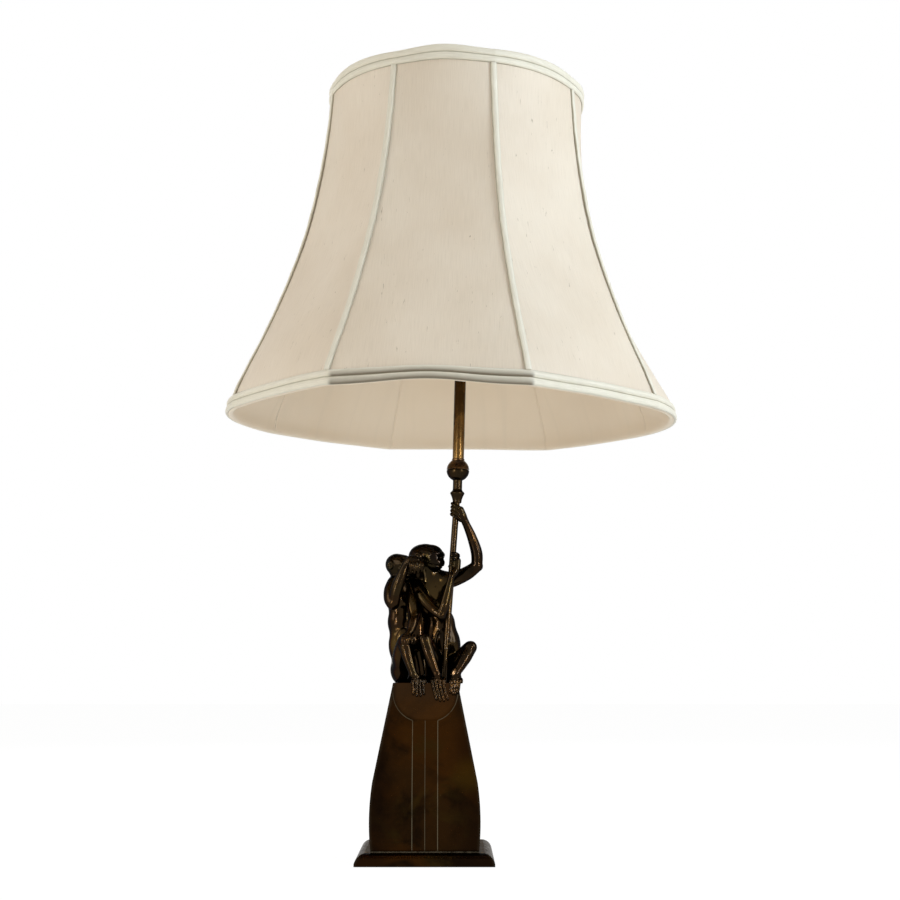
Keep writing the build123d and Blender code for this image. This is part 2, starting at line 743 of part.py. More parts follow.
with BuildPart() as socket_cap:
    with BuildSketch(upright(saddle)):
        with BuildLine():
            boss = (8.0, cap_start + 4.5)
            flare = (holder_radius + 1.1, cap_rim - 8)
            lip = (holder_radius + 1.1, cap_rim)
            Polyline((tube_bore + slip, cap_start), (8.0, cap_start), boss)
            Polyline(boss, (13.0, cap_start + 6.6), (16.6, cap_start + 10.5), flare)
            inner_lip = (holder_radius + slip, cap_rim)
            inner_flare = (holder_radius + slip, cap_rim - 8)
            Polyline(flare, lip, inner_lip, inner_flare)
            Polyline(
                inner_flare,
                (15.6, cap_start + 11.1),
                (12.4, cap_start + 7.6),
                (7.2, cap_start + 5.6),
                (tube_bore + slip, cap_start + 5.6),
                (tube_bore + slip, cap_start),
            )
        make_face()
    revolve(axis=Axis(saddle.origin, saddle.z_dir))
save(socket_cap.part, "socket_cap")


def sleeve(radius, wall, low, high):
    """A thin sleeve on the lampholder's axis."""
    with BuildPart() as piece:
        with BuildSketch(saddle.offset(low)):
            Circle(radius)
            Circle(radius - wall, mode=Mode.SUBTRACT)
        extrude(amount=high - low)
    return piece.part


key_axis = Plane(on_axis(saddle, key_height), x_dir=saddle.x_dir, z_dir=(0, -1, 0))


def key_hole():
    """The hole that the key's stem passes through, on the lampholder's front."""
    with BuildPart() as hole:
        with BuildSketch(key_axis):
            Circle(key_radius + seat)
        extrude(amount=holder_radius + 5)
    return hole.part


stem_hole = key_hole()
with BuildPart() as socket_shell:
    add(sleeve(holder_radius, holder_wall, shell_start, shell_end))
    add(stem_hole, mode=Mode.SUBTRACT)
save(socket_shell.part, "socket_shell")

with BuildPart() as socket_liner:
    add(sleeve(liner_radius, liner_thickness, liner_start, liner_end))
    add(stem_hole, mode=Mode.SUBTRACT)
save(socket_liner.part, "socket_liner")

with BuildPart() as socket_body:
    with BuildSketch(saddle.offset(body_start)):
        Circle(body_radius)
        with Locations((-8, 4)):
            Circle(lead_radius + seat, mode=Mode.SUBTRACT)
    extrude(amount=body_height)
    add(stem_hole, mode=Mode.SUBTRACT)
save(socket_body.part, "socket_body")

with BuildPart() as screw_shell:
    add(sleeve(screw_shell_radius, 0.4, contact_level, liner_end - 1))
save(screw_shell.part, "screw_shell")

contact_top = contact_level + 2.2
with BuildPart() as centre_contact:
    add(turned(saddle.offset(contact_level), [(0, 0), (3.2, 0), (3.2, 0.8), (1.6, 2.2), (0, 2.2)]))
save(centre_contact.part, "centre_contact")

with BuildPart() as switch_key:
    with BuildSketch(key_axis.offset(2.0)):
        Circle(key_radius)
    extrude(amount=holder_radius + key_length - 12)
    with BuildSketch(Plane(on_axis(saddle, key_height), x_dir=(0, -1, 0), z_dir=saddle.x_dir).offset(-1.6)):
        with Locations((holder_radius + key_length - 6.5, 0)):
            SlotOverall(15.0, 9.0)
    extrude(amount=3.2)
save(switch_key.part, "switch_key")

# ---------------------------------------------------------------- lamp
lamp = saddle.offset(contact_top + slip)
lamp_cap_radius = screw_shell_radius - 0.4 - seat
with BuildPart() as bulb_cap:
    add(
        turned(
            lamp,
            [
                (0, 0),
                (4.0, 0),
                (5.0, 1.5),
                (lamp_cap_radius - 1.5, 4),
                (lamp_cap_radius, 5),
                (lamp_cap_radius, bulb_cap_length),
                (lamp_cap_radius - 0.5, bulb_cap_length),
                (lamp_cap_radius - 0.5, 6),
                (0, 6),
            ],
        )
    )
save(bulb_cap.part, "bulb_cap")

glass_neck = lamp_cap_radius - 0.5 - slip
glass_foot = 10.0
# how the neck flares into the globe, as shares across and up, and the globe's stations in degrees
neck_flare = [(0.10, 0.32), (0.36, 0.66), (0.68, 0.87)]
globe_angles = [-38, -22, -6, 10, 26, 42, 56, 69, 80, 87]
globe_height = bulb_cap_length + bulb_length - bulb_radius


def bulb_outline(inset):
    """Outline of the bulb's glass as (radius, height) points: a neck that opens into a round globe."""
    globe = bulb_radius - inset
    neck = glass_neck - inset
    neck_end = bulb_cap_length + 2
    outline = [(0, glass_foot + inset), (neck, glass_foot + inset), (neck, neck_end)]
    waist = globe * cos(radians(globe_angles[0]))
    rise = globe_height + globe * sin(radians(globe_angles[0])) - neck_end
    outline += [(neck + (waist - neck) * out, neck_end + rise * up) for out, up in neck_flare]
    for angle in globe_angles:
        outline.append((globe * cos(radians(angle)), globe_height + globe * sin(radians(angle))))
    return outline + [(0, outline[-1][1])]


with BuildPart() as bulb_glass:
    add(turned(lamp, bulb_outline(0)))
    add(turned(lamp, bulb_outline(glass_thickness)), mode=Mode.SUBTRACT)
save(bulb_glass.part, "bulb_glass")

# ---------------------------------------------------------------- harp
harp_top = harp_height - harp_wire_radius - 1.0


def harp_point(side, height):
    """A point of the harp's wire: the loop drifts to one side as it rises to the stud."""
    return on_axis(saddle, height, side + harp_offset * height / harp_height)


def wire(points, radii, radius):
    """A round wire along straight runs joined by tangent arcs."""
    with BuildPart() as piece:
        with BuildLine() as path:
            FilletPolyline(*points, radius=radii)
        with BuildSketch(Plane(path.line @ 0, z_dir=path.line % 0)):
            Circle(radius)
        sweep(path=path.line)
    return piece.part


leg_start = ear_height + slip
pad_bottom = -pad_drop - pad_thickness
half_loop = [(harp_belly, 92), (harp_belly, 168), (22, harp_top)]
loop = [on_axis(saddle, leg_start, -harp_half)]
loop += [on_axis(saddle, leg_start + 28, -harp_half)]
loop += [harp_point(-side, height) for side, height in half_loop]
loop += [harp_point(side, height) for side, height in reversed(half_loop)]
loop += [on_axis(saddle, leg_start + 28, harp_half)]
loop += [on_axis(saddle, leg_start, harp_half)]
with BuildPart() as harp_wire:
    add(wire(loop, [50, 70, 60, 16, 16, 60, 70, 50], harp_wire_radius))
    with BuildSketch(stud.offset(pad_bottom)):
        Circle(pad_radius)
    extrude(amount=pad_thickness)
    # the wire is flattened where the stud is riveted through it
    with BuildSketch(stud.offset(-pad_drop)):
        Circle(collar_radius + 1)
    extrude(amount=4, mode=Mode.SUBTRACT)
    with BuildSketch(stud.offset(pad_bottom)):
        Circle(collar_radius)
    extrude(amount=-4, mode=Mode.SUBTRACT)
    with BuildSketch(stud.offset(-8)):
        Circle(stud_radius + slip)
    extrude(amount=12, mode=Mode.SUBTRACT)
save(harp_wire.part, "harp_wire")

with BuildPart() as harp_saddle:
    with BuildSketch(upright(saddle)):
        with BuildLine():
            FilletPolyline(
                (-harp_half, 8),
                (-harp_half, saddle_thickness / 2),
                (harp_half, saddle_thickness / 2),
                (harp_half, 8),
                radius=5,
            )
        trace(line_width=saddle_thickness)
    extrude(amount=saddle_width / 2, both=True)
    for side in (-harp_half, harp_half):
        with BuildSketch(Plane(on_axis(saddle, 6.5, side), x_dir=saddle.x_dir, z_dir=saddle.z_dir)):
            Circle(harp_wire_radius)
        extrude(amount=ear_height - 6.5)
    with BuildSketch(saddle.offset(-5)):
        Circle(tube_bore - slip + seat)
    extrude(amount=10, mode=Mode.SUBTRACT)
save(harp_saddle.part, "harp_saddle")


def ferrule(side):
    """A sleeve that slips down over the joint between a harp leg and its ear on the saddle."""
    base = Plane(on_axis(saddle, 8 + seat, side), x_dir=saddle.x_dir, z_dir=saddle.z_dir)
    bore = harp_wire_radius + seat
    return turned(
        base,
        [
            (bore, 0),
            (ferrule_radius, 0),
            (ferrule_radius + 0.6, 0.8),
            (ferrule_radius, 1.8),
            (ferrule_radius - 0.6, ferrule_length),
            (bore, ferrule_length),
        ],
    )


save(ferrule(-harp_half), "harp_ferrule_left")
save(ferrule(harp_half), "harp_ferrule_right")

with BuildPart() as harp_stud:
    add(
        turned(
            stud,
            [
                (0, pad_bottom - pad_gap - rivet_height),
                (rivet_radius - 0.8, pad_bottom - pad_gap - rivet_height),
                (rivet_radius, pad_bottom - pad_gap),
                (stud_radius, pad_bottom - pad_gap),
                (stud_radius, -pad_drop + pad_gap),
                (collar_radius, -pad_drop + pad_gap),
                (collar_radius, -slip),
                (stud_radius, -slip),
                (stud_radius, stud_length),
                (0, stud_length),
            ],
        )
    )
save(harp_stud.part, "harp_stud")

finial_seat = hub_thickness + seat
with BuildPart() as finial:
    with BuildSketch(upright(stud)):
        with BuildLine():
            Polyline(
                (stud_radius + seat, finial_seat),
                (finial_foot, finial_seat),
                (finial_foot, finial_seat + 2.2),
                (finial_waist + seat, finial_seat + 4.0),
                (finial_waist + seat, finial_seat + 6.5),
            )
            Polyline(
                (finial_waist + seat, finial_seat + 6.5),
                (finial_radius, finial_seat + 12.5),
                (finial_radius, finial_seat + 16.0),
                (3.4, finial_seat + finial_height - 2.5),
                (1.0, finial_seat + finial_height),
                (0, finial_seat + finial_height),
                (0, stud_length + 1.0),
                (stud_radius + seat, stud_length + 1.0),
                (stud_radius + seat, finial_seat),
            )
        make_face()
    revolve(axis=Axis(stud.origin, stud.z_dir))
save(finial.part, "finial")

# ---------------------------------------------------------------- internal lead
lead_start = Vector(0, terminal_y - terminal_size[1] / 2 - slip, foot_top + 5)
lead_route = [
    lead_start,
    Vector(0, 6, foot_top + 5),
    Vector(8, -10, foot_top + 60),
    on_axis(staff, -staff_tail - 30),
    on_axis(staff, staff_length),
    on_axis(saddle, body_start - slip),
]
lead_radii = [14, 60, 60, 120]
with BuildPart() as internal_lead:
    add(wire(lead_route, lead_radii, lead_radius))
save(internal_lead.part, "internal_lead")

# ---------------------------------------------------------------- shade


def steepness(index, column):
    """Slope of the shade's profile at one of its stations."""
    before = shade_profile[max(index - 1, 0)]
    after = shade_profile[min(index + 1, len(shade_profile) - 1)]
    return (after[column] - before[column]) / (after[0] - before[0])


def profile_at(fraction, column):
    """Rib radius (1) or panel bulge (2) at a fraction of the height, as a smooth cubic between stations."""
    index = max(i for i in range(len(shade_profile) - 1) if i == 0 or shade_profile[i][0] <= fraction)
    low, high = shade_profile[index], shade_profile[index + 1]
    span = high[0] - low[0]
    t = (fraction - low[0]) / span
    ends = low[column] * (1 + 2 * t) * (1 - t) ** 2 + high[column] * t**2 * (3 - 2 * t)
    slopes = steepness(index, column) * t * (1 - t) ** 2 - steepness(index + 1, column) * t**2 * (1 - t)
    return ends + slopes * span


def rib_angles(fraction):
    """Directions of the eight ribs, from the front towards +X, at a fraction of the height."""
    front = front_half_angle_rim + fraction * (front_half_angle_top - front_half_angle_rim)
    quarter = [-front, front, 90 - side_half_angle, 90 + side_half_angle]
    half_turn = [180 - front, 180 + front, 270 - side_half_angle, 270 + side_half_angle]
    return [angle + shade_turn for angle in quarter + half_turn]


def bearing(radius, angle):
    """A point at a radius and a direction, from the front towards +X."""
    return (radius * sin(radians(angle)), -radius * cos(radians(angle)))


def panel_arc(fraction, index, out, gap=0.0):
    """Ends and crown of one panel's curve between two ribs, moved out and drawn in at its ends."""
    angles = rib_angles(fraction)
    first = angles[index]
    last = angles[(index + 1) % 8]
    if last < first:
        last += 360
    radius = profile_at(fraction, 1) + out
    half = (last - first) / 2
    crown = radius * cos(radians(half)) + profile_at(fraction, 2)
    trim = degrees(gap / radius)
    return bearing(radius, first + trim), bearing(crown, first + half), bearing(radius, last - trim)


def level(fraction):
    """The section plane of the shade at a fraction of its height."""
    return shade.offset(fraction * shade_height)


def lobed_face(fraction, out):
    """The shade's whole outline at one height: eight bulging panels that meet at the ribs."""
    with BuildSketch(level(fraction)) as section:
        with BuildLine():
            for index in range(8):
                ThreePointArc(*panel_arc(fraction, index, out))
        make_face()
    return section.sketch


def panel_face(fraction, index, out, thickness, gap):
    """One panel's thin section at one height."""
    outer = panel_arc(fraction, index, out, gap)
    inner = panel_arc(fraction, index, out - thickness, gap)
    with BuildSketch(level(fraction)) as section:
        with BuildLine():
            ThreePointArc(*outer)
            Line(outer[2], inner[2])
            ThreePointArc(*reversed(inner))
            Line(inner[0], outer[0])
        make_face()
    return section.sketch


stations = [0, 0.02, 0.04, 0.08, 0.14, 0.22, 0.32, 0.42, 0.53, 0.65, 0.76, 0.86, 0.93, 0.965, 1]
lining_top = 1.0 - 5.0 / shade_height
lining_stations = [f for f in stations if f < lining_top - 0.01] + [lining_top]
with BuildPart() as shade_panels:
    for index in range(8):
        loft([panel_face(f, index, 0, silk_thickness, silk_gap / 2) for f in stations], ruled=True)
save(shade_panels.part, "shade_panels")

with BuildPart() as shade_lining:
    for index in range(8):
        drop = -lining_inset
        loft([panel_face(f, index, drop, lining_thickness, silk_gap / 2) for f in lining_stations], ruled=True)
save(shade_lining.part, "shade_lining")


def trim_band(low, high):
    """A band of two rounded rows round the outside of a rim, sewn down along its middle."""
    rows = [0.0, 0.14, 0.36, 0.5, 0.64, 0.86, 1.0]
    proud = [0.55, 0.9, 1.0, 0.5, 1.0, 0.9, 0.55]
    fractions = [low + row * (high - low) for row in rows]
    with BuildPart() as band:
        loft([lobed_face(f, loose + trim_depth * p) for f, p in zip(fractions, proud)], ruled=True)
        loft([lobed_face(f, loose) for f in (low, (low + high) / 2, high)], ruled=True, mode=Mode.SUBTRACT)
    return band.part


trim_share = trim_height / shade_height
save(trim_band(0.0, trim_share), "bottom_trim")
save(trim_band(1.0 - trim_share, 1.0), "top_trim")


def seam_face(fraction, index):
    """One seam trim's section at one height: a flat back on the rib and a rounded front."""
    angle = rib_angles(fraction)[index]
    radius = profile_at(fraction, 1) + loose + 0.1
    x, y = bearing(radius, angle)
    with BuildSketch(Plane(level(fraction).from_local_coords((x, y, 0)), shade.x_dir, shade.z_dir)) as section:
        with BuildLine():
            ThreePointArc((-seam_width / 2, 0), (0, -seam_depth), (seam_width / 2, 0))
            Line((seam_width / 2, 0), (-seam_width / 2, 0))
        make_face()
    return section.sketch.rotate(Axis(level(fraction).from_local_coords((x, y, 0)), shade.z_dir), angle)


seam_low = trim_share + 0.001
seam_high = 1.0 - trim_share - 0.001
seam_stations = [seam_low] + [f for f in stations if seam_low + 0.01 < f < seam_high - 0.01] + [seam_high]
with BuildPart() as seam_trims:
    for index in range(8):
        loft([seam_face(f, index) for f in seam_stations], ruled=True)
save(seam_trims.part, "seam_trims")

# ---------------------------------------------------------------- shade frame
wire_inset = silk_thickness + frame_wire + loose


def rim_wire(fraction):
    """A wire bent to the shade's lobed outline, welded closed at the ribs."""
    with BuildPart() as ring:
        for out, mode in ((frame_wire - wire_inset, Mode.ADD), (-frame_wire - wire_inset, Mode.SUBTRACT)):
            extrude(lobed_face(fraction, out), amount=frame_wire, both=True, mode=mode)
    return ring.part


ring_share = (frame_wire + 0.3) / shade_height
save(rim_wire(ring_share), "shade_rim_wire")

# the arms are welded in under the hub's face, so that the finial seats on the hub alone
spider_hub = hub_height + hub_thickness - arm_sink - frame_wire
ring_top = shade_height - frame_wire - 0.3
top_fraction = ring_top / shade_height
save(rim_wire(top_fraction), "shade_top_wire")

with BuildPart() as shade_spider:
    with BuildSketch(shade.offset(hub_height)):
        Circle(hub_radius)
    extrude(amount=hub_thickness)
    for index in (1, 4, 6):
        rib = rib_angles(top_fraction)[index]
        reach = profile_at(top_fraction, 1) - wire_inset
        arm = [(hub_radius - 3, spider_hub), (reach * 0.62, spider_hub), (reach, ring_top)]
        route = []
        for radius, height in arm:
            x, y = bearing(radius, rib)
            route.append(shade.from_local_coords((x, y, height)))
        add(wire(route, [40], frame_wire))
    with BuildSketch(shade.offset(hub_height - 2)):
        Circle(stud_radius + seat)
    extrude(amount=8, mode=Mode.SUBTRACT)
save(shade_spider.part, "shade_spider")

rib_stations = [ring_share] + [f for f in stations if 0.02 < f < 0.98] + [top_fraction]
with BuildPart() as shade_ribs:
    for index in range(8):
        sections = []
        for fraction in rib_stations:
            x, y = bearing(profile_at(fraction, 1) - wire_inset - 0.2, rib_angles(fraction)[index])
            centre = level(fraction).from_local_coords((x, y, 0))
            with BuildSketch(Plane(centre, shade.x_dir, shade.z_dir)) as ring:
                Circle(frame_wire - 0.2)
            sections.append(ring.sketch)
        loft(sections, ruled=True)
save(shade_ribs.part, "shade_ribs")
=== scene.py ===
import math

import bpy
import numpy as np
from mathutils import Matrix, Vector


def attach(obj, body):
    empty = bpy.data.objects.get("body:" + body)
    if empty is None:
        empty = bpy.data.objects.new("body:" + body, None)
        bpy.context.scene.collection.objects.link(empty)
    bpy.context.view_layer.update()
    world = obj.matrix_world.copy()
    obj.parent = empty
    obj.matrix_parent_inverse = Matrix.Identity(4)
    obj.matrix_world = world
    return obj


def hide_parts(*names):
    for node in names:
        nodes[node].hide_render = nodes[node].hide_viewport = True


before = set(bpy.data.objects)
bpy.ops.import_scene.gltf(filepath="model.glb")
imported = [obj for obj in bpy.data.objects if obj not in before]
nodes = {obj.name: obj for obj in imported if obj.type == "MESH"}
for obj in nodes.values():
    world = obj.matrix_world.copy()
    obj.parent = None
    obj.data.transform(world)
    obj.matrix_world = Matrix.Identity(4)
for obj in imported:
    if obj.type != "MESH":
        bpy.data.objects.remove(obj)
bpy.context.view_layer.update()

MM = 0.001
# levels of the plinth, and the arcs of the bowl line cut in its front, in the CAD's millimetres
PLINTH_TOP = 172
FOOT_TOP = 12.3
BOWL_CENTRE = 163.11
BOWL_SIDE = 3.34
BOWL_RADIUS = 28.55

# ---- camera
CAMERA_PLACE = (0.0242, -1.525, 0.1889)
CAMERA_LOOKS_UP = 8.18

camera = bpy.data.objects.new("camera", bpy.data.cameras.new("camera"))
bpy.context.scene.collection.objects.link(camera)
camera.data.lens = 60
camera.data.sensor_width = 36
camera.data.clip_start = 0.05
camera.data.clip_end = 50
camera.location = CAMERA_PLACE
camera.rotation_euler = (math.radians(90 + CAMERA_LOOKS_UP), 0, 0)
bpy.context.scene.camera = camera
bpy.context.scene.view_settings.view_transform = "Standard"


# ---- shading tools
class Recipe:
    """Builds the shading of a material or a world: each call adds a node and gives its output."""

    def __init__(self, name, store="materials", shader="Principled BSDF", surface="Material Output"):
        self.holder = getattr(bpy.data, store).new(name)
        self.holder.use_nodes = True
        self.tree = self.holder.node_tree
        self.shader = self.tree.nodes[shader]
        self.surface = self.tree.nodes[surface].inputs["Surface"]

    def feed(self, socket, value):
        if isinstance(value, bpy.types.NodeSocket):
            self.tree.links.new(value, socket)
        elif socket.type == "RGBA":
            socket.default_value = (*value, 1)
        else:
            socket.default_value = value

    def node(self, kind, inputs=(), settings=(), output=0):
        made = self.tree.nodes.new("ShaderNode" + kind)
        for key, value in dict(settings).items():
            setattr(made, key, value)
        for key, value in dict(inputs).items():
            self.feed(made.inputs[key], value)
        return made.outputs[output]

    def math(self, operation, first, second=0):
        return self.node("Math", {0: first, 1: second}, {"operation": operation})

    def times(self, first, second):
        return self.math("MULTIPLY", first, second)

    def plus(self, first, second):
        return self.math("ADD", first, second)

    def gap(self, first, second=0):
        """How far apart two values are."""
        return self.math("ABSOLUTE", self.math("SUBTRACT", first, second))

    def total(self, *parts):
        """The sum of values, each times its weight."""
        result = 0
        for value, weight in parts:
            result = self.plus(self.times(value, weight), result)
        return result

    def steps(self, value, low, high, start=0, end=1):
        """A smooth step from start to end while a value goes from low to high."""
        inputs = {"Value": value, "From Min": low, "From Max": high, "To Min": start, "To Max": end}
        return self.node("MapRange", inputs, {"interpolation_type": "SMOOTHSTEP"})

    def mix(self, share, first, second):
        return self.node("Mix", {0: share, 6: first, 7: second}, {"data_type": "RGBA"}, 2)

    def tint(self, colour, other, share, strength):
        """Another colour mixed in by a share times a strength."""
        return self.mix(self.times(share, strength), colour, other)

    def place(self, space="Object"):
        return self.node("TexCoord", output=space)

    def axes(self, place):
        """The x, y and z of a vector."""
        return self.node("SeparateXYZ", {0: place}).node.outputs

    def near(self, spot, inner, outer):
        """1 within a distance of a point, in metres, fading to 0 at the outer one."""
        reach = self.node("VectorMath", {0: self.place(), 1: spot}, {"operation": "DISTANCE"}, 1)
        return self.steps(reach, inner, outer, 1, 0)

    def cloud(self, place, scale, detail, roughness, distortion):
        inputs = {"Vector": place, "Scale": scale, "Detail": detail, "Roughness": roughness}
        return self.node("TexNoise", {**inputs, "Distortion": distortion})

    def noise(self, scale, detail=3, roughness=0.55, distortion=0, stretch=(1, 1, 1), offset=(0, 0, 0)):
        """Noise in the object's own metres; a stretch under 1 draws it out along that axis."""
        place = self.node("Mapping", {"Vector": self.place(), "Scale": stretch, "Location": offset})
        return self.cloud(place, scale, detail, roughness, distortion)

    def weave(self, stretch, detail=2, roughness=0.55, distortion=0, turn=0, scale=1):
        """Noise in the cloth's flat metres, turned by some degrees."""
        inputs = {"Vector": self.place("UV"), "Scale": stretch, "Rotation": (0, 0, math.radians(turn))}
        return self.cloud(self.node("Mapping", inputs), scale, detail, roughness, distortion)

    def bump(self, height, strength, distance):
        return self.node("Bump", {"Height": height, "Strength": strength, "Distance": distance})

    def finish(self, **values):
        for key, value in values.items():
            self.feed(self.shader.inputs[key.replace("_", " ")], value)
        return self.holder

    def blend(self, share, other):
        """Mixes the shader with another, by a share of the other."""
        mixed = self.node("MixShader", {0: share, 1: self.shader.outputs[0], 2: other})
        self.feed(self.surface, mixed)
        return self.holder

    def through_cloth(self, colour, share):
        """Lets a share of the light through thin cloth."""
        return self.blend(share, self.node("BsdfTranslucent", {"Color": colour}))

    def seen_white(self, kind, strength, share):
        """Shows white to the camera, to reflections and to glass, by a share."""
        path = self.node("LightPath").node.outputs
        seen = self.math("MAXIMUM", path["Is Camera Ray"], path["Is Glossy Ray"])
        seen = self.math("MAXIMUM", seen, path["Is Transmission Ray"])
        white = self.node(kind, {"Color": (1, 1, 1), "Strength": strength})
        return self.blend(self.times(seen, share), white)


def tone(red, green, blue):
    """A colour from its screen values, 0 to 255, as the linear value that a shader takes."""
    values = [v / 255 for v in (red, green, blue)]
    return tuple(v / 12.92 if v <= 0.04045 else ((v + 0.055) / 1.055) ** 2.4 for v in values)


# ---- studio
sky = Recipe("studio", "worlds", "Background", "World Output")
sky.finish(Color=(1, 0.985, 0.965), Strength=0.47)
bpy.context.scene.world = sky.seen_white("Background", 1, 1)

ground = Recipe("floor_white")
ground_colour = ground.mix(ground.noise(3), (0.8, 0.8, 0.79), (0.84, 0.84, 0.83))
ground.finish(Base_Color=ground_colour, Roughness=0.9)
bpy.ops.mesh.primitive_plane_add(size=12, location=(0, 0, 0))
floor = bpy.context.object
floor.name = "floor"
floor.data.materials.append(ground.seen_white("Emission", 1.06, 0.88))


def lamp_light(name, place, aim, size, power, colour=(1, 1, 1), lights_cloth=True):
    """A rectangular lamp; one that doesn't light cloth only draws streaks on the metal."""
    light = bpy.data.lights.new(name, "AREA")
    light.shape = "RECTANGLE"
    light.size, light.size_y = size
    light.energy = power
    light.color = colour
    holder = bpy.data.objects.new(name, light)
    holder.location = place
    holder.rotation_euler = (Vector(aim) - Vector(place)).to_track_quat("-Z", "Y").to_euler()
    holder.visible_diffuse = lights_cloth
    holder.visible_transmission = lights_cloth
    bpy.context.scene.collection.objects.link(holder)


MIDDLE = (0, 0, 0.45)
FIGURES = (0, 0, 0.35)
lamp_light("key_right", (1.75, -0.75, 1.15), MIDDLE, (0.55, 1.2), 29.5, (0.78, 0.885, 1))
lamp_light("strip_right", (1.05, -1.25, 0.45), FIGURES, (0.035, 0.8), 15, (1, 0.98, 0.96), False)
lamp_light("fill_left", (-1.8, -0.7, 1.1), MIDDLE, (0.6, 1.2), 10, (1, 0.98, 0.95))
lamp_light("strip_left", (-1, -1.3, 0.4), FIGURES, (0.03, 0.7), 8, (1, 0.98, 0.95), False)
lamp_light("low_left", (-0.75, -0.8, 0.1), (0.12, 0.05, 0.55), (0.4, 0.4), 1.8, (1, 0.97, 0.92))
lamp_light("back_top", (-0.2, 1.6, 1.5), (0, 0, 0.6), (1.4, 0.9), 17)

# ---- materials


def silk(name, base, dark, pale):
    """Slubbed silk: upright threads with short thick flecks, a fine weave, and uneven dye."""
    r = Recipe(name)
    threads = r.weave((1500, 42, 1), 2, 0.6)
    cross = r.weave((120, 1800, 1), 1, 0.5)
    short_flecks = r.steps(r.weave((360, 62, 1), 2.5, 0.55, 1.2, turn=5), 0.69, 0.77)
    long_flecks = r.steps(r.weave((190, 30, 1), 3, 0.6, 1.5, turn=-4), 0.7, 0.8, 0, 0.7)
    flecks = r.plus(short_flecks, long_flecks)
    bright = r.steps(r.weave((300, 40, 1), 2, 0.5, 0.4, turn=-3, scale=1.7), 0.7, 0.78)
    colour = r.mix(r.steps(r.noise(9), 0.3, 0.7), base, pale)
    colour = r.tint(colour, dark, r.steps(threads, 0.35, 0.7), 0.12)
    colour = r.tint(colour, dark, flecks, 0.95)
    colour = r.tint(colour, pale, bright, 0.5)
    height = r.total((threads, 0.6), (cross, 0.4), (flecks, 1.2))
    r.finish(
        Base_Color=colour,
        Roughness=r.steps(threads, 0.3, 0.8, 0.48, 0.66),
        Normal=r.bump(height, 0.35, 0.0006),
        Sheen_Weight=0.25,
        Sheen_Roughness=0.4,
    )
    return r.through_cloth(tone(255, 240, 214), 0.24)


def trim_silk(name, base, dark, painted_under_shade=False):
    """Self-fabric band: threads along it, gathers across it, stains, painted shadow in its sewn lines and at
    its edges, and optionally painted shade where it faces down.
    """
    r = Recipe(name)
    along = r.weave((60, 1500, 1), 2, 0.6)
    gathers = r.weave((420, 40, 1), 2, 0.5, 0.3)
    stain = r.steps(r.noise(14, 4), 0.5, 0.74)
    colour = r.tint(base, dark, r.steps(along, 0.35, 0.7), 0.25)
    colour = r.tint(colour, dark, stain, 0.22)
    run, from_line, _ = r.axes(r.place("UV"))
    # painted shadow along the sewn line and at the edges of the cloth
    colour = r.mix(r.steps(from_line, 0.0002, 0.0009, 0.62, 0), colour, tone(128, 116, 82))
    marks = r.steps(r.weave((330, 1, 1)), 0.66, 0.72)
    colour = r.tint(colour, tone(84, 74, 48), marks, r.steps(from_line, 0.0003, 0.0008, 0.7, 0))
    if painted_under_shade:
        # painted shade: darker where the band turns under and faces down, most on the front panel's stretch,
        # first along its run
        upward = r.axes(r.node("NewGeometry", output="Normal"))[2]
        front = r.times(r.steps(run, 0.001, 0.006), r.steps(run, 0.184, 0.189, 1, 0))
        share = r.plus(r.times(front, 0.85), 0.03)
        colour = r.tint(colour, tone(88, 74, 44), r.steps(upward, -0.7, 0.9, 1, 0), share)
    r.finish(
        Base_Color=colour,
        Roughness=r.steps(gathers, 0.3, 0.7, 0.5, 0.68),
        Normal=r.bump(r.total((along, 0.4), (gathers, 1)), 0.22, 0.0006),
        Sheen_Weight=0.25,
    )
    return r.through_cloth(tone(250, 236, 205), 0.08)


def lining_cloth(name):
    """Smooth lining with faint tension lines up the panel, bumped and darkened with painted shade."""
    r = Recipe(name)
    weave = r.weave((1400, 1400, 1), 1, 0.5)
    folds = r.weave((90, 5, 1), 2, 0.45)
    colour = r.mix(r.steps(r.noise(7), 0.3, 0.7), tone(242, 224, 197), tone(248, 232, 207))
    # painted shade along the tension lines, which are bumped as well
    colour = r.tint(colour, tone(228, 214, 190), r.steps(folds, 0.5, 0.8), 0.22)
    r.finish(
        Base_Color=colour,
        Roughness=r.steps(weave, 0.3, 0.7, 0.5, 0.6),
        Normal=r.bump(r.total((weave, 0.15), (folds, 1)), 0.25, 0.0008),
        Sheen_Weight=0.15,
    )
    return r.through_cloth(tone(255, 242, 220), 0.12)


# the bronze's tones in linear values: in its hollows, in the open, and of its red and olive clouds
PLINTH_TONES = [
    (0.005, 0.0022, 0.0006),
    (0.018, 0.0072, 0.0015),
    (0.031, 0.0104, 0.0012),
    (0.022, 0.012, 0.002),
]
FIGURE_TONES = [
    (0.006, 0.0034, 0.0013),
    (0.0165, 0.0092, 0.0031),
    (0.024, 0.0105, 0.0026),
    (0.025, 0.0185, 0.0056),
]


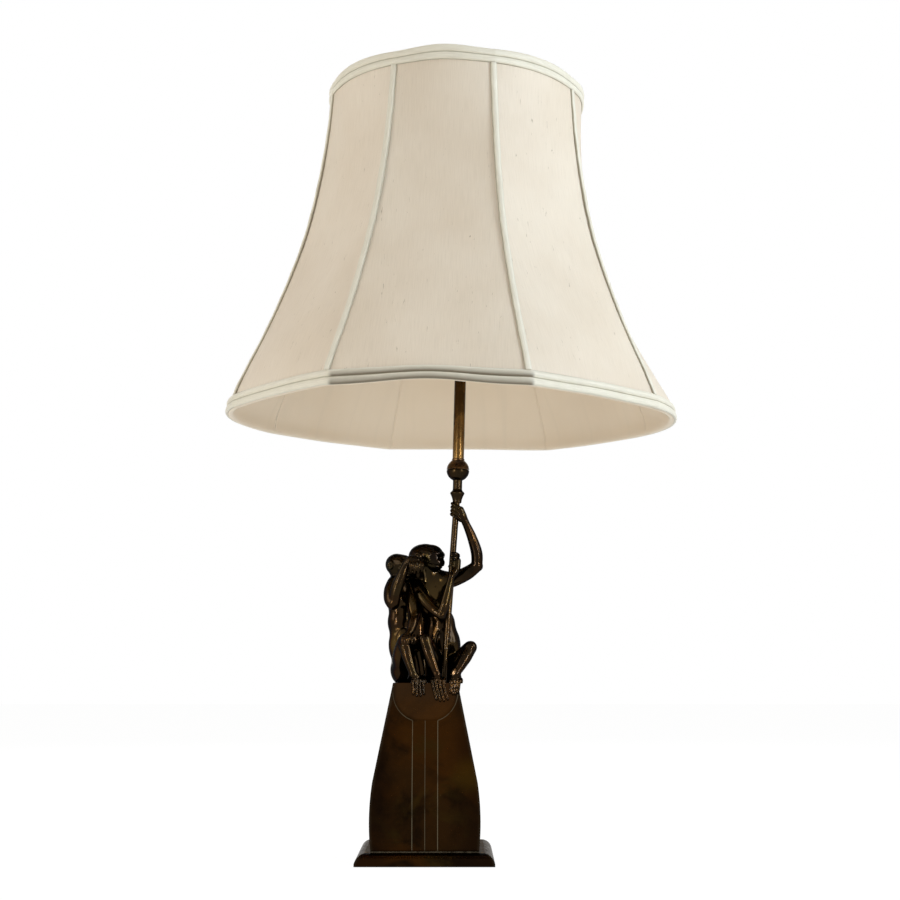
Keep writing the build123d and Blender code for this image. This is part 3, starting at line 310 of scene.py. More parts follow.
def bronze(name, fur=False, plinth=False):
    """Dark lacquered bronze with red and olive clouds, and warmer metal where hands have rubbed it."""
    r = Recipe(name)
    dark, base, reddish, olive = PLINTH_TONES if plinth else FIGURE_TONES
    broad = r.noise(24, 4, 0.6, 0.4)
    fine = r.noise(150, 5, 0.65)
    specks = r.steps(r.noise(560, 2, 0.5), 0.66, 0.76)
    red_cloud = r.steps(r.noise(15, 4, 0.62, 0.8, offset=(3, 1, 2)), 0.46, 0.66)
    olive_cloud = r.steps(r.noise(19, 4, 0.62, 0.6, offset=(7, 4, 1)), 0.52, 0.7)
    colour = r.mix(r.steps(broad, 0.36, 0.62), dark, base)
    colour = r.tint(colour, reddish, red_cloud, 0.8)
    colour = r.tint(colour, olive, olive_cloud, 0.75 if fur or plinth else 0.2)
    colour = r.tint(colour, (0.045, 0.03, 0.012), specks, 0.12)
    height = r.total((fine, 0.4), (broad, 0.6))
    polish = (0.12, 0.21) if fur else (0.19, 0.32)
    roughness = r.plus(r.steps(fine, 0.3, 0.7, *polish), r.times(specks, 0.12))
    if plinth:
        colour, roughness = plinth_wear_and_side_shade(r, colour, roughness)
    else:
        colour = figure_wear_and_face_shade(r, colour)
        rubbed = r.node("NewGeometry", output="Pointiness")
        worn = r.steps(rubbed, 0.51, 0.66, 0, 0.7 if fur else 0.12)
        colour = r.mix(worn, colour, (0.12, 0.074, 0.032))
        colour = r.mix(r.steps(rubbed, 0.36, 0.475, 0.6, 0), colour, (0.0045, 0.0028, 0.0016))
        height = r.total((height, 1), (r.noise(260, 3, 0.6), 0.5))
    if fur:
        strands = r.noise(420, 2, 0.6, 0.5, stretch=(1, 1, 0.3))
        on_head = r.steps(r.axes(r.place())[2], 0.29, 0.3)
        height = r.total((height, 1), (r.times(strands, on_head), 1.6))
    return r.finish(
        Base_Color=colour,
        Roughness=roughness,
        Normal=r.bump(height, 0.15 if fur else 0.12, 0.001),
        Metallic=0.96,
        Specular_IOR_Level=0.1,
        Specular_Tint=(0.15, 0.11, 0.07),
        Coat_Weight=0.02 if plinth else 0.07,
        Coat_Roughness=0.055,
    )


def figure_wear_and_face_shade(r, colour):
    """Golden brown where the lacquer has gone: the chests, a haunch, knees and one bare ankle; and painted
    shade on the right monkey's face.
    """
    ragged = r.steps(r.noise(34, 2, 0.5), 0.3, 0.6, 0.35, 1)
    warm = [
        ((0.012, -0.012, 0.26), 0.004, 0.03, 0.45),
        ((-0.03, -0.006, 0.208), 0.004, 0.022, 0.75),
        ((0.004, -0.022, 0.212), 0.002, 0.014, 0.75),
        ((0.034, -0.01, 0.2), 0.004, 0.02, 0.6),
        ((-0.012, -0.006, 0.246), 0.004, 0.018, 0.55),
    ]
    for spot, inner, outer, share in warm:
        mask = r.times(r.near(spot, inner, outer), ragged)
        colour = r.tint(colour, (0.078, 0.046, 0.012), mask, share)
    # painted shade on the right monkey's face, under its brow
    shaded = r.near((0.0125, -0.01, 0.2965), 0.0035, 0.0125)
    colour = r.tint(colour, (0.0065, 0.0036, 0.0022), shaded, 0.75)
    bare = r.near((0.0262, -0.0335, 0.1835), 0.0022, 0.005)
    return r.tint(colour, (0.44, 0.27, 0.14), bare, 0.85)


def plinth_wear_and_side_shade(r, colour, roughness):
    """Greyer corners, painted shade towards the sides of the front face, dust in the incised lines, and a
    pale line where the plinth meets the foot.
    """
    x, y, z = r.axes(r.place())
    outward = r.gap(x)
    ragged = r.times(r.noise(90, 4, 0.7), 0.004)
    edge = r.steps(r.plus(r.gap(outward, r.gap(y)), ragged), 0.0012, 0.0056, 0.7, 0)
    colour = r.mix(edge, colour, (0.066, 0.052, 0.032))
    # painted shade: the front face darker towards its sides
    front = r.steps(y, -0.03, -0.028, 1, 0)
    side = r.steps(outward, 0.018, 0.048, 0, 0.65)
    colour = r.tint(colour, (0.005, 0.002, 0.0007), side, front)
    golden = r.near((0.043, -0.05, 0.085), 0.004, 0.024)
    colour = r.tint(colour, (0.06, 0.03, 0.002), golden, 0.3)
    crown = r.steps(z, 0.148, 0.164, 0, 0.55)
    colour = r.tint(colour, (0.012, 0.0085, 0.0052), crown, front)
    patchy = r.noise(110, 3, 0.6, stretch=(1, 1, 0.35), offset=(2, 5, 3))
    dusty = r.steps(patchy, 0.32, 0.52, 0.35, 1)
    # the bowl line, two arcs that meet in the middle, and the warmer metal inside it
    across = r.math("SUBTRACT", outward, BOWL_SIDE * MM)
    above = r.math("SUBTRACT", z, BOWL_CENTRE * MM)
    arm = r.node("CombineXYZ", {0: across, 1: above})
    reach = r.node("VectorMath", {0: arm}, {"operation": "LENGTH"}, 1)
    ring = r.steps(r.gap(reach, BOWL_RADIUS * MM), 0.0002, 0.0006, 0.5, 0)
    ring = r.times(ring, r.steps(outward, 0.0122, 0.0126))
    ring = r.times(ring, r.steps(z, 0.16, 0.164, 1, 0))
    colour = r.tint(colour, (0.12, 0.098, 0.06), r.times(ring, front), dusty)
    inside = r.steps(reach, 0.024, 0.0285, 0.4, 0)
    colour = r.tint(colour, (0.05, 0.021, 0.006), inside, front)
    # the three flutes
    between = r.times(r.steps(z, 0.1352, 0.1362, 1, 0), r.steps(z, 0.0123, 0.0126))
    shown = r.times(front, between)
    for flute, strength in ((-0.0123, 0.62), (0, 0.36), (0.0123, 0.62)):
        line = r.steps(r.gap(x, flute), 0.00015, 0.00048, strength, 0)
        colour = r.tint(colour, (0.17, 0.145, 0.092), r.times(line, shown), dusty)
    joint = r.steps(r.gap(z, (FOOT_TOP + 0.3) * MM), 0.0001, 0.0005, 0.7, 0)
    dust = r.times(joint, r.steps(patchy, 0.3, 0.5, 0.3, 1))
    colour = r.mix(dust, colour, (0.24, 0.205, 0.14))
    return colour, r.plus(roughness, r.times(dust, 0.3))


def brass(name, pale, dark, polish, fades_between=None):
    """Aged brass: brown lacquer clouds over a warm metal, with pits; it may turn paler below and darker
    above, between two levels.
    """
    r = Recipe(name)
    cloud = r.noise(60, 5, 0.65, 0.5, stretch=(1, 1, 0.45))
    pits = r.steps(r.noise(500, 3, 0.6), 0.62, 0.7)
    lines = r.noise(900, 2, stretch=(1, 1, 0.06))
    share = r.steps(cloud, 0.36, 0.66)
    if fades_between:
        # paler below the first level and darker above the second
        fade = r.steps(r.axes(r.place())[2], *fades_between, 0.35, -0.35)
        share = r.node("Clamp", {"Value": r.plus(share, fade)})
    colour = r.tint(r.mix(share, dark, pale), (0.012, 0.007, 0.004), pits, 0.7)
    return r.finish(
        Base_Color=colour,
        Roughness=r.plus(r.steps(cloud, 0.3, 0.7, polish + 0.14, polish), r.times(pits, 0.2)),
        Normal=r.bump(r.total((lines, 0.4), (cloud, 0.4)), 0.12, 0.0004),
        Metallic=1,
    )


def plain_stuff(name, low, high, scale, roughness, metallic=0, relief=0.2):
    """A plain worked material: two close tones, a grain and its relief."""
    r = Recipe(name)
    grain = r.noise(scale, 4, 0.6)
    return r.finish(
        Base_Color=r.mix(r.steps(grain, 0.35, 0.65), low, high),
        Roughness=r.steps(grain, 0.3, 0.7, roughness, min(1, roughness + 0.14)),
        Normal=r.bump(grain, relief, 0.0004),
        Metallic=metallic,
    )


silk_cream = silk("silk_cream", tone(237, 224, 203), tone(165, 150, 122), tone(245, 234, 215))
TRIM_TONES = (tone(236, 229, 209), tone(176, 166, 140))
trim_cream = trim_silk("trim_cream", *TRIM_TONES)
# the lower rim band, with painted shade where it faces down
rim_cream = trim_silk("rim_cream", *TRIM_TONES, painted_under_shade=True)
lining_beige = lining_cloth("lining_beige")
frame_paint = plain_stuff("frame_paint", (0.62, 0.6, 0.55), (0.74, 0.72, 0.67), 300, 0.45)
bronze_fur = bronze("bronze_fur", fur=True)

# each finish, and the CAD nodes that wear it
finishes = [
    (bronze("bronze_plinth", plinth=True), "foot_casting plinth_shell"),
    (bronze_fur, "monkey_left monkey_right"),
    (bronze("bronze_staff"), "staff_rod staff_knop"),
    (
        brass("brass_tube", (0.15, 0.084, 0.026), (0.048, 0.025, 0.008), 0.19, fades_between=(0.39, 0.5)),
        "upper_tube",
    ),
    (brass("brass_ball", (0.1, 0.054, 0.022), (0.03, 0.016, 0.008), 0.16), "ball_upper"),
    (
        brass("brass_bright", (0.62, 0.42, 0.16), (0.34, 0.21, 0.08), 0.24),
        "ball_nipple holder_nipple socket_cap socket_shell screw_shell centre_contact bulb_cap harp_saddle "
        "harp_wire harp_ferrule_left harp_ferrule_right harp_stud finial terminal_screws",
    ),
    (
        plain_stuff("steel", (0.42, 0.42, 0.41), (0.56, 0.56, 0.55), 240, 0.26, metallic=1),
        "base_plate base_plate_screws plinth_screws figure_screws staff_washer staff_nut",
    ),
    (frame_paint, "shade_rim_wire shade_top_wire shade_spider shade_ribs"),
    (plain_stuff("felt_green", (0.03, 0.055, 0.034), (0.06, 0.095, 0.06), 900, 0.85, relief=0.8), "felt_pad"),
    (plain_stuff("moulded", (0.018, 0.014, 0.012), (0.03, 0.024, 0.02), 400, 0.35), "cord_bush switch_key"),
    (plain_stuff("card_liner", (0.3, 0.25, 0.18), (0.38, 0.33, 0.25), 500, 0.8, relief=0.5), "socket_liner"),
    (plain_stuff("ceramic", (0.7, 0.68, 0.62), (0.8, 0.78, 0.73), 120, 0.22), "terminal_block socket_body"),
    (plain_stuff("opal_glass", (0.86, 0.85, 0.82), (0.92, 0.91, 0.88), 60, 0.22, relief=0.05), "bulb_glass"),
    (
        plain_stuff("lead_cover", (0.22, 0.16, 0.09), (0.32, 0.24, 0.14), 700, 0.6, relief=0.6),
        "internal_lead",
    ),
]
for material, names in finishes:
    for name in names.split():
        mesh = nodes[name].data
        mesh.materials.clear()
        mesh.materials.append(material)
        for face in mesh.polygons:
            face.material_index = 0

# ---- shade
SHADE = np.array([24.1943, -12, 436.4166])
SHADE_LEAN = math.radians(1.15)
SHADE_X = np.array([math.cos(SHADE_LEAN), 0, -math.sin(SHADE_LEAN)])
SHADE_Y = np.array([0, 1, 0])
SHADE_Z = np.array([math.sin(SHADE_LEAN), 0, math.cos(SHADE_LEAN)])
SHADE_HEIGHT = 345.3
SHADE_TURN = -6
# rib radius and bulge of the panels, at fractions of the height
STATIONS = [(0, 221, 19.5), (0.04, 219.5, 18), (0.1, 211, 14.5), (0.23, 190.5, 8), (0.37, 171.5, 3.2)]
STATIONS += [(0.52, 154.8, 1.2), (0.68, 143, 2), (0.84, 135, 5.5), (1, 130.5, 10)]
PROFILE = np.array(STATIONS)


def profile_at(fraction, column):
    """Rib radius (1) or bulge (2) at a fraction of the height, a smooth cubic between stations."""
    last = len(PROFILE) - 1
    index = min(max(int(np.searchsorted(PROFILE[:, 0], fraction, "right")) - 1, 0), last - 1)

    def slope(i):
        before, after = PROFILE[max(i - 1, 0)], PROFILE[min(i + 1, last)]
        return (after[column] - before[column]) / (after[0] - before[0])

    low, high = PROFILE[index], PROFILE[index + 1]
    span = high[0] - low[0]
    t = (fraction - low[0]) / span
    ends = low[column] * (1 + 2 * t) * (1 - t) ** 2 + high[column] * t**2 * (3 - 2 * t)
    return ends + (slope(index) * t * (1 - t) ** 2 - slope(index + 1) * t**2 * (1 - t)) * span


def rib_angle(fraction, index):
    """A rib's angle from the front in degrees; the front and back panels narrow towards the top."""
    front = 24.5 - 3 * fraction
    side = 21.3
    ribs = [-front, front, 90 - side, 90 + side, 180 - front, 180 + front, 270 - side, 270 + side]
    return ribs[index % 8] + (360 if index >= 8 else 0) + SHADE_TURN


# each panel's share of the bulge at the lower rim: the four narrow diagonals are drawn flatter
BULGE = (0.5, 0.16, 1.1, 0.6, 0.95, 0.6, 1.1, 0.16)


def panel_line(fraction, index, out, shares):
    """Points of one panel's arc at one height: x, y from the shade's axis, and the outward direction."""
    first, last = rib_angle(fraction, index), rib_angle(fraction, index + 1)
    radius = profile_at(fraction, 1) + out
    half = math.radians((last - first) / 2)
    chord = radius * math.sin(half)
    flatter = (1 - BULGE[index]) * math.exp(-((fraction / 0.16) ** 2))
    rise = max(profile_at(fraction, 2) * (1 - flatter), 0.05)
    bend = (chord**2 + rise**2) / (2 * rise)
    centre = radius * math.cos(half) + rise - bend
    turn = math.asin(min(chord / bend, 1))
    turns = (2 * shares - 1) * turn
    ahead = centre + bend * np.cos(turns)
    across = bend * np.sin(turns)
    middle = math.radians((first + last) / 2)
    x = ahead * math.sin(middle) + across * math.cos(middle)
    y = -ahead * math.cos(middle) + across * math.sin(middle)
    nx = np.cos(turns) * math.sin(middle) + np.sin(turns) * math.cos(middle)
    ny = -np.cos(turns) * math.cos(middle) + np.sin(turns) * math.sin(middle)
    return np.stack([x, y], -1), np.stack([nx, ny], -1)


def near_rims(height, low_reach, high_reach, low=1, high=1):
    """A weight that falls off above the lower rim and below the upper one."""
    below_top = max(SHADE_HEIGHT - height, 0)
    return low * math.exp(-max(height, 0) / low_reach) + high * math.exp(-below_top / high_reach)


def rim_arch(height, index, shares):
    """How far a panel's threads rise between its ribs near the rims, where the silk is drawn in an arch."""
    share = np.sin(math.pi * shares)
    if index == 0:
        share = share**3
    low = {0: 4, 4: 3}.get(index, 0.8)
    return share * near_rims(height, 22, 22, low, 2.4)


def in_shade(flat, z):
    """Points (x, y) and heights on the shade's own axes, moved to the lamp's frame, in millimetres."""
    parts = zip((flat[:, 0], flat[:, 1], z), (SHADE_X, SHADE_Y, SHADE_Z))
    return SHADE + sum(np.multiply.outer(values, axis) for values, axis in parts)


def mesh_piece(name, points, faces, material):
    """A smooth object from points in millimetres and their faces."""
    mesh = bpy.data.meshes.new(name)
    mesh.from_pydata((points * MM).tolist(), [], faces.tolist())
    mesh.polygons.foreach_set("use_smooth", [True] * len(faces))
    mesh.materials.append(material)
    piece = bpy.data.objects.new(name, mesh)
    bpy.context.scene.collection.objects.link(piece)
    return piece


def grid_piece(name, points, uv, material, around=False, thickness=0, offset=-1):
    """A sheet from a grid of points: rows upward, columns to the right seen from outside."""
    rows, columns = points.shape[:2]
    index = np.arange(rows * columns).reshape(rows, columns)
    right = np.roll(index, -1, axis=1) if around else index[:, 1:]
    left = index if around else index[:, :-1]
    faces = np.stack([left[:-1], right[:-1], right[1:], left[1:]], -1).reshape(-1, 4)
    piece = mesh_piece(name, points.reshape(-1, 3), faces, material)
    layer = piece.data.uv_layers.new(name="cloth")
    corners = np.stack([uv[:-1, :-1], uv[:-1, 1:], uv[1:, 1:], uv[1:, :-1]], -2) * MM
    layer.data.foreach_set("uv", corners.astype(np.float32).ravel())
    if thickness:
        shell = piece.modifiers.new("thickness", "SOLIDIFY")
        shell.thickness = thickness * MM
        shell.offset = offset
    return piece


def area_of(points):
    """Area of a grid of points, in square metres."""
    a = points[1:, :-1] - points[:-1, :-1]
    b = points[:-1, 1:] - points[:-1, :-1]
    return float(np.linalg.norm(np.cross(a, b), axis=-1).sum()) * 1e-6


def share_up(height):
    return min(max(height / SHADE_HEIGHT, 0), 1)


def panel_piece(name, index, levels, material, pucker, thickness, offset=-1, columns=45):
    """One panel, from (offset outward, height) levels, with the small puckers of hand-sewn cloth."""
    # a panel that thickens outward, the lining, laps over its neighbours
    lap = 0.006 if offset > 0 else 0
    shares = np.linspace(-lap, 1 + lap, columns)
    points = np.zeros((len(levels), columns, 3))
    uv = np.zeros((len(levels), columns, 2))
    rng = np.random.default_rng(100 + index)
    waves = rng.uniform(0, 2 * math.pi, 6)
    run = 0
    for row, (out, height) in enumerate(levels):
        fraction = share_up(height)
        flat, outward = panel_line(fraction, index, out, shares)
        width = 2 * profile_at(fraction, 1) * math.sin(math.radians(22))
        from_rib = np.minimum(shares, 1 - shares) * width
        drift = waves[0] + 2 * np.sin(shares * 9 + waves[1])
        gather = near_rims(height, 16, 12) * np.sin(shares * width * 2 * math.pi / 7.5 + drift)
        ribside = np.exp(-from_rib / 7) * math.sin(height * 2 * math.pi / 11 + waves[2])
        sag = 0.35 * np.sin(shares * math.pi * 3 + waves[3]) * math.sin(fraction * 7 + waves[4])
        relief = pucker * (0.2 * gather * np.clip(from_rib / 4, 0, 1) + 0.12 * ribside + sag * 0.5)
        relief = relief * np.clip(from_rib / 6, 0, 1)
        if index == 0:
            # the creases low on the right of the front panel
            crease = np.exp(-(((shares - 0.84) / 0.12) ** 2)) * math.exp(-(((fraction - 0.1) / 0.1) ** 2))
            wave = np.sin(shares * width * 2 * math.pi / 8 + 6 * fraction)
            relief = relief + pucker * crease * wave
        moved = flat + outward * relief[:, None]
        points[row] = in_shade(moved, height + rim_arch(height, index, shares))
        if row:
            run += float(np.linalg.norm(points[row, columns // 2] - points[row - 1, columns // 2]))
        uv[row, :, 0] = (shares - 0.5) * width + 400 * index
        uv[row, :, 1] = run
    piece = grid_piece(name, points, uv, material, thickness=thickness, offset=offset)
    return piece, (width_of(points) * MM, run * MM), area_of(points)


def width_of(points):
    """The widest row of a grid, in millimetres."""
    return float(np.linalg.norm(np.diff(points, axis=1), axis=-1).sum(axis=1).max())


def strip_piece(name, index, low, high):
    """One rib trim: a rounded strip sewn over the seam, a little uneven along its length."""
    heights = np.linspace(low, high, 150)
    section = np.linspace(0, math.pi, 15)
    points = np.zeros((len(heights), len(section), 3))
    uv = np.zeros((len(heights), len(section), 2))
    rng = np.random.default_rng(40 + index)
    phase = rng.uniform(0, 6.28, 4)
    for row, height in enumerate(heights):
        fraction = height / SHADE_HEIGHT
        angle = math.radians(rib_angle(fraction, index))
        radius = profile_at(fraction, 1) - 0.1
        half = 3.3 + 0.12 * math.sin(height / 6.1 + phase[0]) + 0.08 * math.sin(height / 2.3 + phase[1])
        proud = 2.3 + 0.12 * math.sin(height / 4.7 + phase[2])
        drift = 0.2 * math.sin(height / 31 + phase[3])
        across = -np.cos(section) * half
        above = np.sin(section) ** 0.6 * proud - np.abs(across) ** 1.6 * 0.06
        above += 0.04 * np.sin(height / 1.5 + across * 0.9 + phase[1]) * np.sin(section)
        side = across + drift
        x = (radius + above) * math.sin(angle) + side * math.cos(angle)
        y = -(radius + above) * math.cos(angle) + side * math.sin(angle)
        points[row] = in_shade(np.stack([x, y], -1), np.full(len(section), height))
        uv[row, :, 0] = height + 50 * index
        uv[row, :, 1] = half - np.abs(across)
    return grid_piece(name, points, uv, trim_cream, thickness=0.5)


def outline_at(height, columns):
    """The whole lobed outline at one height, with the corners at the ribs eased a little."""
    flats, outs, lifts = [], [], []
    shares = (np.arange(columns) + 0.5) / columns
    for index in range(8):
        flat, outward = panel_line(share_up(height), index, 0, shares)
        flats.append(flat)
        outs.append(outward)
        lifts.append(rim_arch(height, index, shares))
    flat, outward, lift = np.concatenate(flats), np.concatenate(outs), np.concatenate(lifts)
    for _ in range(2):
        flat = (np.roll(flat, 1, 0) + 2 * flat + np.roll(flat, -1, 0)) / 4
        outward = (np.roll(outward, 1, 0) + 2 * outward + np.roll(outward, -1, 0)) / 4
    return flat, outward / np.linalg.norm(outward, axis=1)[:, None], lift


def band_piece(name, section, base_height, groove, material, columns=96):
    """A rim band: a folded strip along the lobed rim, with two rounded rows and a sewn line between."""
    section = np.array(section, float)
    fine = [section[0]]
    for a, b in zip(section[:-1], section[1:]):
        fine += [a + (b - a) * 0.5, b]
    section = np.array(fine)
    smooth = section.copy()
    smooth[1:-1] = (section[:-2] + 2 * section[1:-1] + section[2:]) / 4
    count = 8 * columns
    points = np.zeros((len(smooth), count, 3))
    uv = np.zeros((len(smooth), count + 1, 2))
    girth = np.concatenate([[0], np.cumsum(np.linalg.norm(np.diff(smooth, axis=0), axis=1))])
    line = girth[int(np.argmin(np.abs(smooth[:, 1] - groove) + 9 * (smooth[:, 0] < 0.3)))]
    edge = girth[-1] if base_height < 100 else girth[0]
    for row, (out, height) in enumerate(smooth):
        level = base_height + height
        flat, outward, lift = outline_at(level, columns)
        run = np.concatenate([[0], np.cumsum(np.linalg.norm(np.diff(flat, axis=0, append=flat[:1]), axis=1))])
        along = run[:-1]
        gather = 0.05 * np.sin(along / 1.15 + 2 * np.sin(along / 17)) * (out > 1)
        wander = 0.22 * np.sin(along / 41) + 0.12 * np.sin(along / 13)
        knot = 0.35 * np.exp(-(((np.arange(count) % columns - 0.5) / 2.2) ** 2)) * (out > 0.9)
        moved = flat + outward * (out + gather + knot)[:, None]
        points[row] = in_shade(moved, level + wander * (out > 0.3) + lift)
        uv[row, :, 0] = run
        uv[row, :, 1] = min(abs(girth[row] - line), abs(girth[row] - edge))
    closed = np.concatenate([points, points[:, :1]], axis=1)
    piece = grid_piece(name, points, uv, material, around=True, thickness=0.45)
    return piece, (float(girth[-1]) * MM, float(run[-1]) * MM), area_of(closed)


# the band's section from inside its lower edge to its top, as (outward, upward)
rim_low = [(-1, -0.1), (0, -0.7), (1.3, -0.5), (2.2, 0.7), (2.6, 2.5), (2.4, 4.5), (1.8, 5.8)]
rim_low += [(0.7, 6.6), (1.8, 7.4), (2.4, 8.7), (2.5, 10.6), (2.1, 12.2), (1.3, 13.1), (0.2, 13.5)]
rim_high = [(out, -height) for out, height in reversed(rim_low)]
bottom_band, bottom_flat, bottom_area = band_piece("bottom_band", rim_low, 0, 6.6, rim_cream)
top_band, top_flat, top_area = band_piece("top_band", rim_high, SHADE_HEIGHT, -6.6, trim_cream)
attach(bottom_band, "shade")
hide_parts("bottom_trim")
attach(top_band, "shade")
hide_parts("top_trim")
for band, flat, area in ((bottom_band, bottom_flat, bottom_area), (top_band, top_flat, top_area)):
    min(area, flat[0] * flat[1])

# the frame's lower ring, which follows the rim's arch
flat, outward, lift = outline_at(1.8, 96)
ring_points = []
for angle in np.linspace(0, 2 * math.pi, 13):
    moved = flat + outward * (-2.8 + 1.4 * math.cos(angle))
    ring_points.append(in_shade(moved, 1.9 + 1.4 * math.sin(angle) + lift))
ring_uv = np.zeros((13, len(lift) + 1, 2))
rim_ring = grid_piece("rim_ring", np.array(ring_points), ring_uv, frame_paint, around=True)
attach(rim_ring, "shade")
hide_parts("shade_rim_wire")

silk_levels = [(-0.02, height) for height in np.linspace(0, SHADE_HEIGHT, 112)]
lining_levels = [(-0.9, -0.6), (-1.8, -0.8), (-3.2, -0.85), (-4.8, -0.6), (-5.8, 0.3), (-6.2, 2)]
lining_levels += [(-6.4, height) for height in np.linspace(4.5, SHADE_HEIGHT - 5, 96)]
for index in range(8):
    panel, flat, area = panel_piece(f"silk_panel_{index}", index, silk_levels, silk_cream, 1, 0.7)
    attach(panel, "shade")
    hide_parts("shade_panels")
    strip = strip_piece(f"rib_strip_{index}", index, 13, SHADE_HEIGHT - 13)
    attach(strip, "shade")
    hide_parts("seam_trims")
    name = f"lining_panel_{index}"
    inner, flat, area = panel_piece(name, index, lining_levels, lining_beige, 0.4, 0.5, offset=1)
    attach(inner, "shade")
    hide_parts("shade_lining")

# ---- figures


def unit(vector):
    vector = np.array(vector, float)
    return vector / np.linalg.norm(vector)


def facing(forward, up):
    """Unit directions forward, to the side and up, from a rough forward and up."""
    f = unit(forward)
    s = unit(np.cross(up, f))
    return f, s, np.cross(f, s)


def neighbours(cross, axis):
    """The four cells round each grid edge along an axis, in turn."""
    first, second = [n for n in range(3) if n != axis]
    for da, db in ((0, 0), (1, 0), (1, 1), (0, 1)):
        cell = cross.copy()
        cell[:, first] -= da
        cell[:, second] -= db
        yield cell


class Clay:
    """A figure sculpted as a distance field on a grid, in millimetres above the plinth's top."""

    def __init__(self, low, high, step):
        self.low = np.array(low, float)
        self.step = step
        self.size = np.ceil((np.array(high) - self.low) / step).astype(int) + 1
        self.field = np.full(self.size, 9, np.float32)

    def near(self, low, high):
        """The slices and the points of the grid's box between two corners."""
        start = np.maximum(np.floor((np.array(low) - self.low) / self.step).astype(int), 0)
        stop = np.minimum(np.ceil((np.array(high) - self.low) / self.step).astype(int) + 1, self.size)
        spans = tuple(slice(a, b) for a, b in zip(start, stop))
        axes = [(self.low[n] + self.step * np.arange(start[n], stop[n])).astype(np.float32) for n in range(3)]
        return spans, np.stack(np.meshgrid(*axes, indexing="ij"), -1)

    def join(self, spans, distance, soft, cut):
        """Adds a form to the field, or cuts it away, with a soft edge."""
        old = self.field[spans]
        if cut:
            share = np.clip(0.5 - 0.5 * (old + distance) / soft, 0, 1)
            new = old * (1 - share) - distance * share + soft * share * (1 - share)
        else:
            share = np.clip(0.5 + 0.5 * (old - distance) / soft, 0, 1)
            new = old * (1 - share) + distance * share - soft * share * (1 - share)
        self.field[spans] = new

    def bone(self, points, radii, soft=1.5, cut=False):
        """A limb along a smooth line through points, with a radius at each."""
        stations = np.column_stack([np.array(points, float), np.array(radii, float)])
        count = len(stations)
        parts = 5 if count > 2 else 1
        line = []
        for n in range(count - 1):
            four = [stations[min(max(n + m, 0), count - 1)] for m in (-1, 0, 1, 2)]
            for step in range(parts):
                t = step / parts
                weights = (
                    -0.5 * t + t * t - 0.5 * t**3,
                    1 - 2.5 * t * t + 1.5 * t**3,
                    0.5 * t + 2 * t * t - 1.5 * t**3,
                    -0.5 * t * t + 0.5 * t**3,
                )
                line.append(sum(weight * station for weight, station in zip(weights, four)))
        line = np.array(line + [stations[-1]])
        fine, widths = line[:, :3], line[:, 3]
        reach = widths.max() + soft + 2
        spans, at = self.near(fine.min(0) - reach, fine.max(0) + reach)
        distance = np.full(at.shape[:3], 99, np.float32)
        for a, b, ra, rb in zip(fine[:-1], fine[1:], widths[:-1], widths[1:]):
            step = (b - a).astype(np.float32)
            arm = at - a.astype(np.float32)
            along = np.clip((arm @ step) / max(float(step @ step), 1e-6), 0, 1)
            gap = arm - along[..., None] * step
            distance = np.minimum(distance, np.sqrt((gap * gap).sum(-1)) - (ra + (rb - ra) * along))
        self.join(spans, distance, soft, cut)

    def egg(self, centre, radii, forward=(1, 0, 0), up=(0, 0, 1), soft=4, cut=False):
        """An ellipsoid with its radii forward, sideways and up."""
        turn = np.stack(facing(forward, up), 1).astype(np.float32)
        radii = np.array(radii, np.float32)
        reach = float(radii.max()) + soft + 2
        centre = np.array(centre, float)
        spans, at = self.near(centre - reach, centre + reach)
        scaled = ((at - centre.astype(np.float32)) @ turn) / radii
        inner = np.sqrt((scaled * scaled).sum(-1))
        slope = np.sqrt(((scaled / radii) ** 2).sum(-1))
        distance = np.where(slope > 1e-6, inner * (inner - 1) / np.maximum(slope, 1e-6), -radii.min())
        self.join(spans, distance, soft, cut)

    def skin(self):
        """Points and faces of the field's zero surface, by surface nets."""
        field = self.field
        inside = field < 0
        total = np.zeros(tuple(self.size) + (3,), np.float32)
        count = np.zeros(tuple(self.size), np.float32)
        crossings = []
        for axis in range(3):
            low = [slice(None)] * 3
            high = [slice(None)] * 3
            low[axis], high[axis] = slice(0, -1), slice(1, None)
            cross = np.argwhere(inside[tuple(low)] != inside[tuple(high)])
            step = np.zeros(3, int)
            step[axis] = 1
            first = field[tuple(cross.T)]
            second = field[tuple((cross + step).T)]
            spot = cross.astype(np.float32)
            spot[:, axis] += first / (first - second)
            for cell in neighbours(cross, axis):
                keep = (cell >= 0).all(1)
                np.add.at(total, tuple(cell[keep].T), spot[keep])
                np.add.at(count, tuple(cell[keep].T), 1)
            crossings.append((axis, cross, first < 0))
        used = np.argwhere(count > 0)
        number = np.full(tuple(self.size), -1, np.int64)
        number[tuple(used.T)] = np.arange(len(used))
        points = self.low + self.step * (total[tuple(used.T)] / count[tuple(used.T)][:, None])
        faces = []
        for axis, cross, starts_inside in crossings:
            safe = (np.delete(cross, axis, 1) > 0).all(1)
            quads = np.stack([number[tuple(cell.T)] for cell in neighbours(cross[safe], axis)], 1)
            flip = starts_inside[safe] if axis != 1 else ~starts_inside[safe]
            quads[flip] = quads[flip][:, ::-1]
            faces.append(quads)
        return points, np.concatenate(faces)

    def piece(self, name, material):
        points, faces = self.skin()
        points[:, 2] += PLINTH_TOP
        made = mesh_piece(name, points, faces, material)
        ease = made.modifiers.new("ease", "SMOOTH")
        ease.factor = 0.4
        ease.iterations = 2
        return made


PLINTH_FRONT = -31.9
STAFF = np.array([17.6, -12, 0])
STAFF_LEAN = math.radians(4.23)
STAFF_Z = np.array([math.sin(STAFF_LEAN), 0, math.cos(STAFF_LEAN)])
STAFF_X = np.array([math.cos(STAFF_LEAN), 0, -math.sin(STAFF_LEAN)])
STAFF_Y = np.array([0, 1, 0])


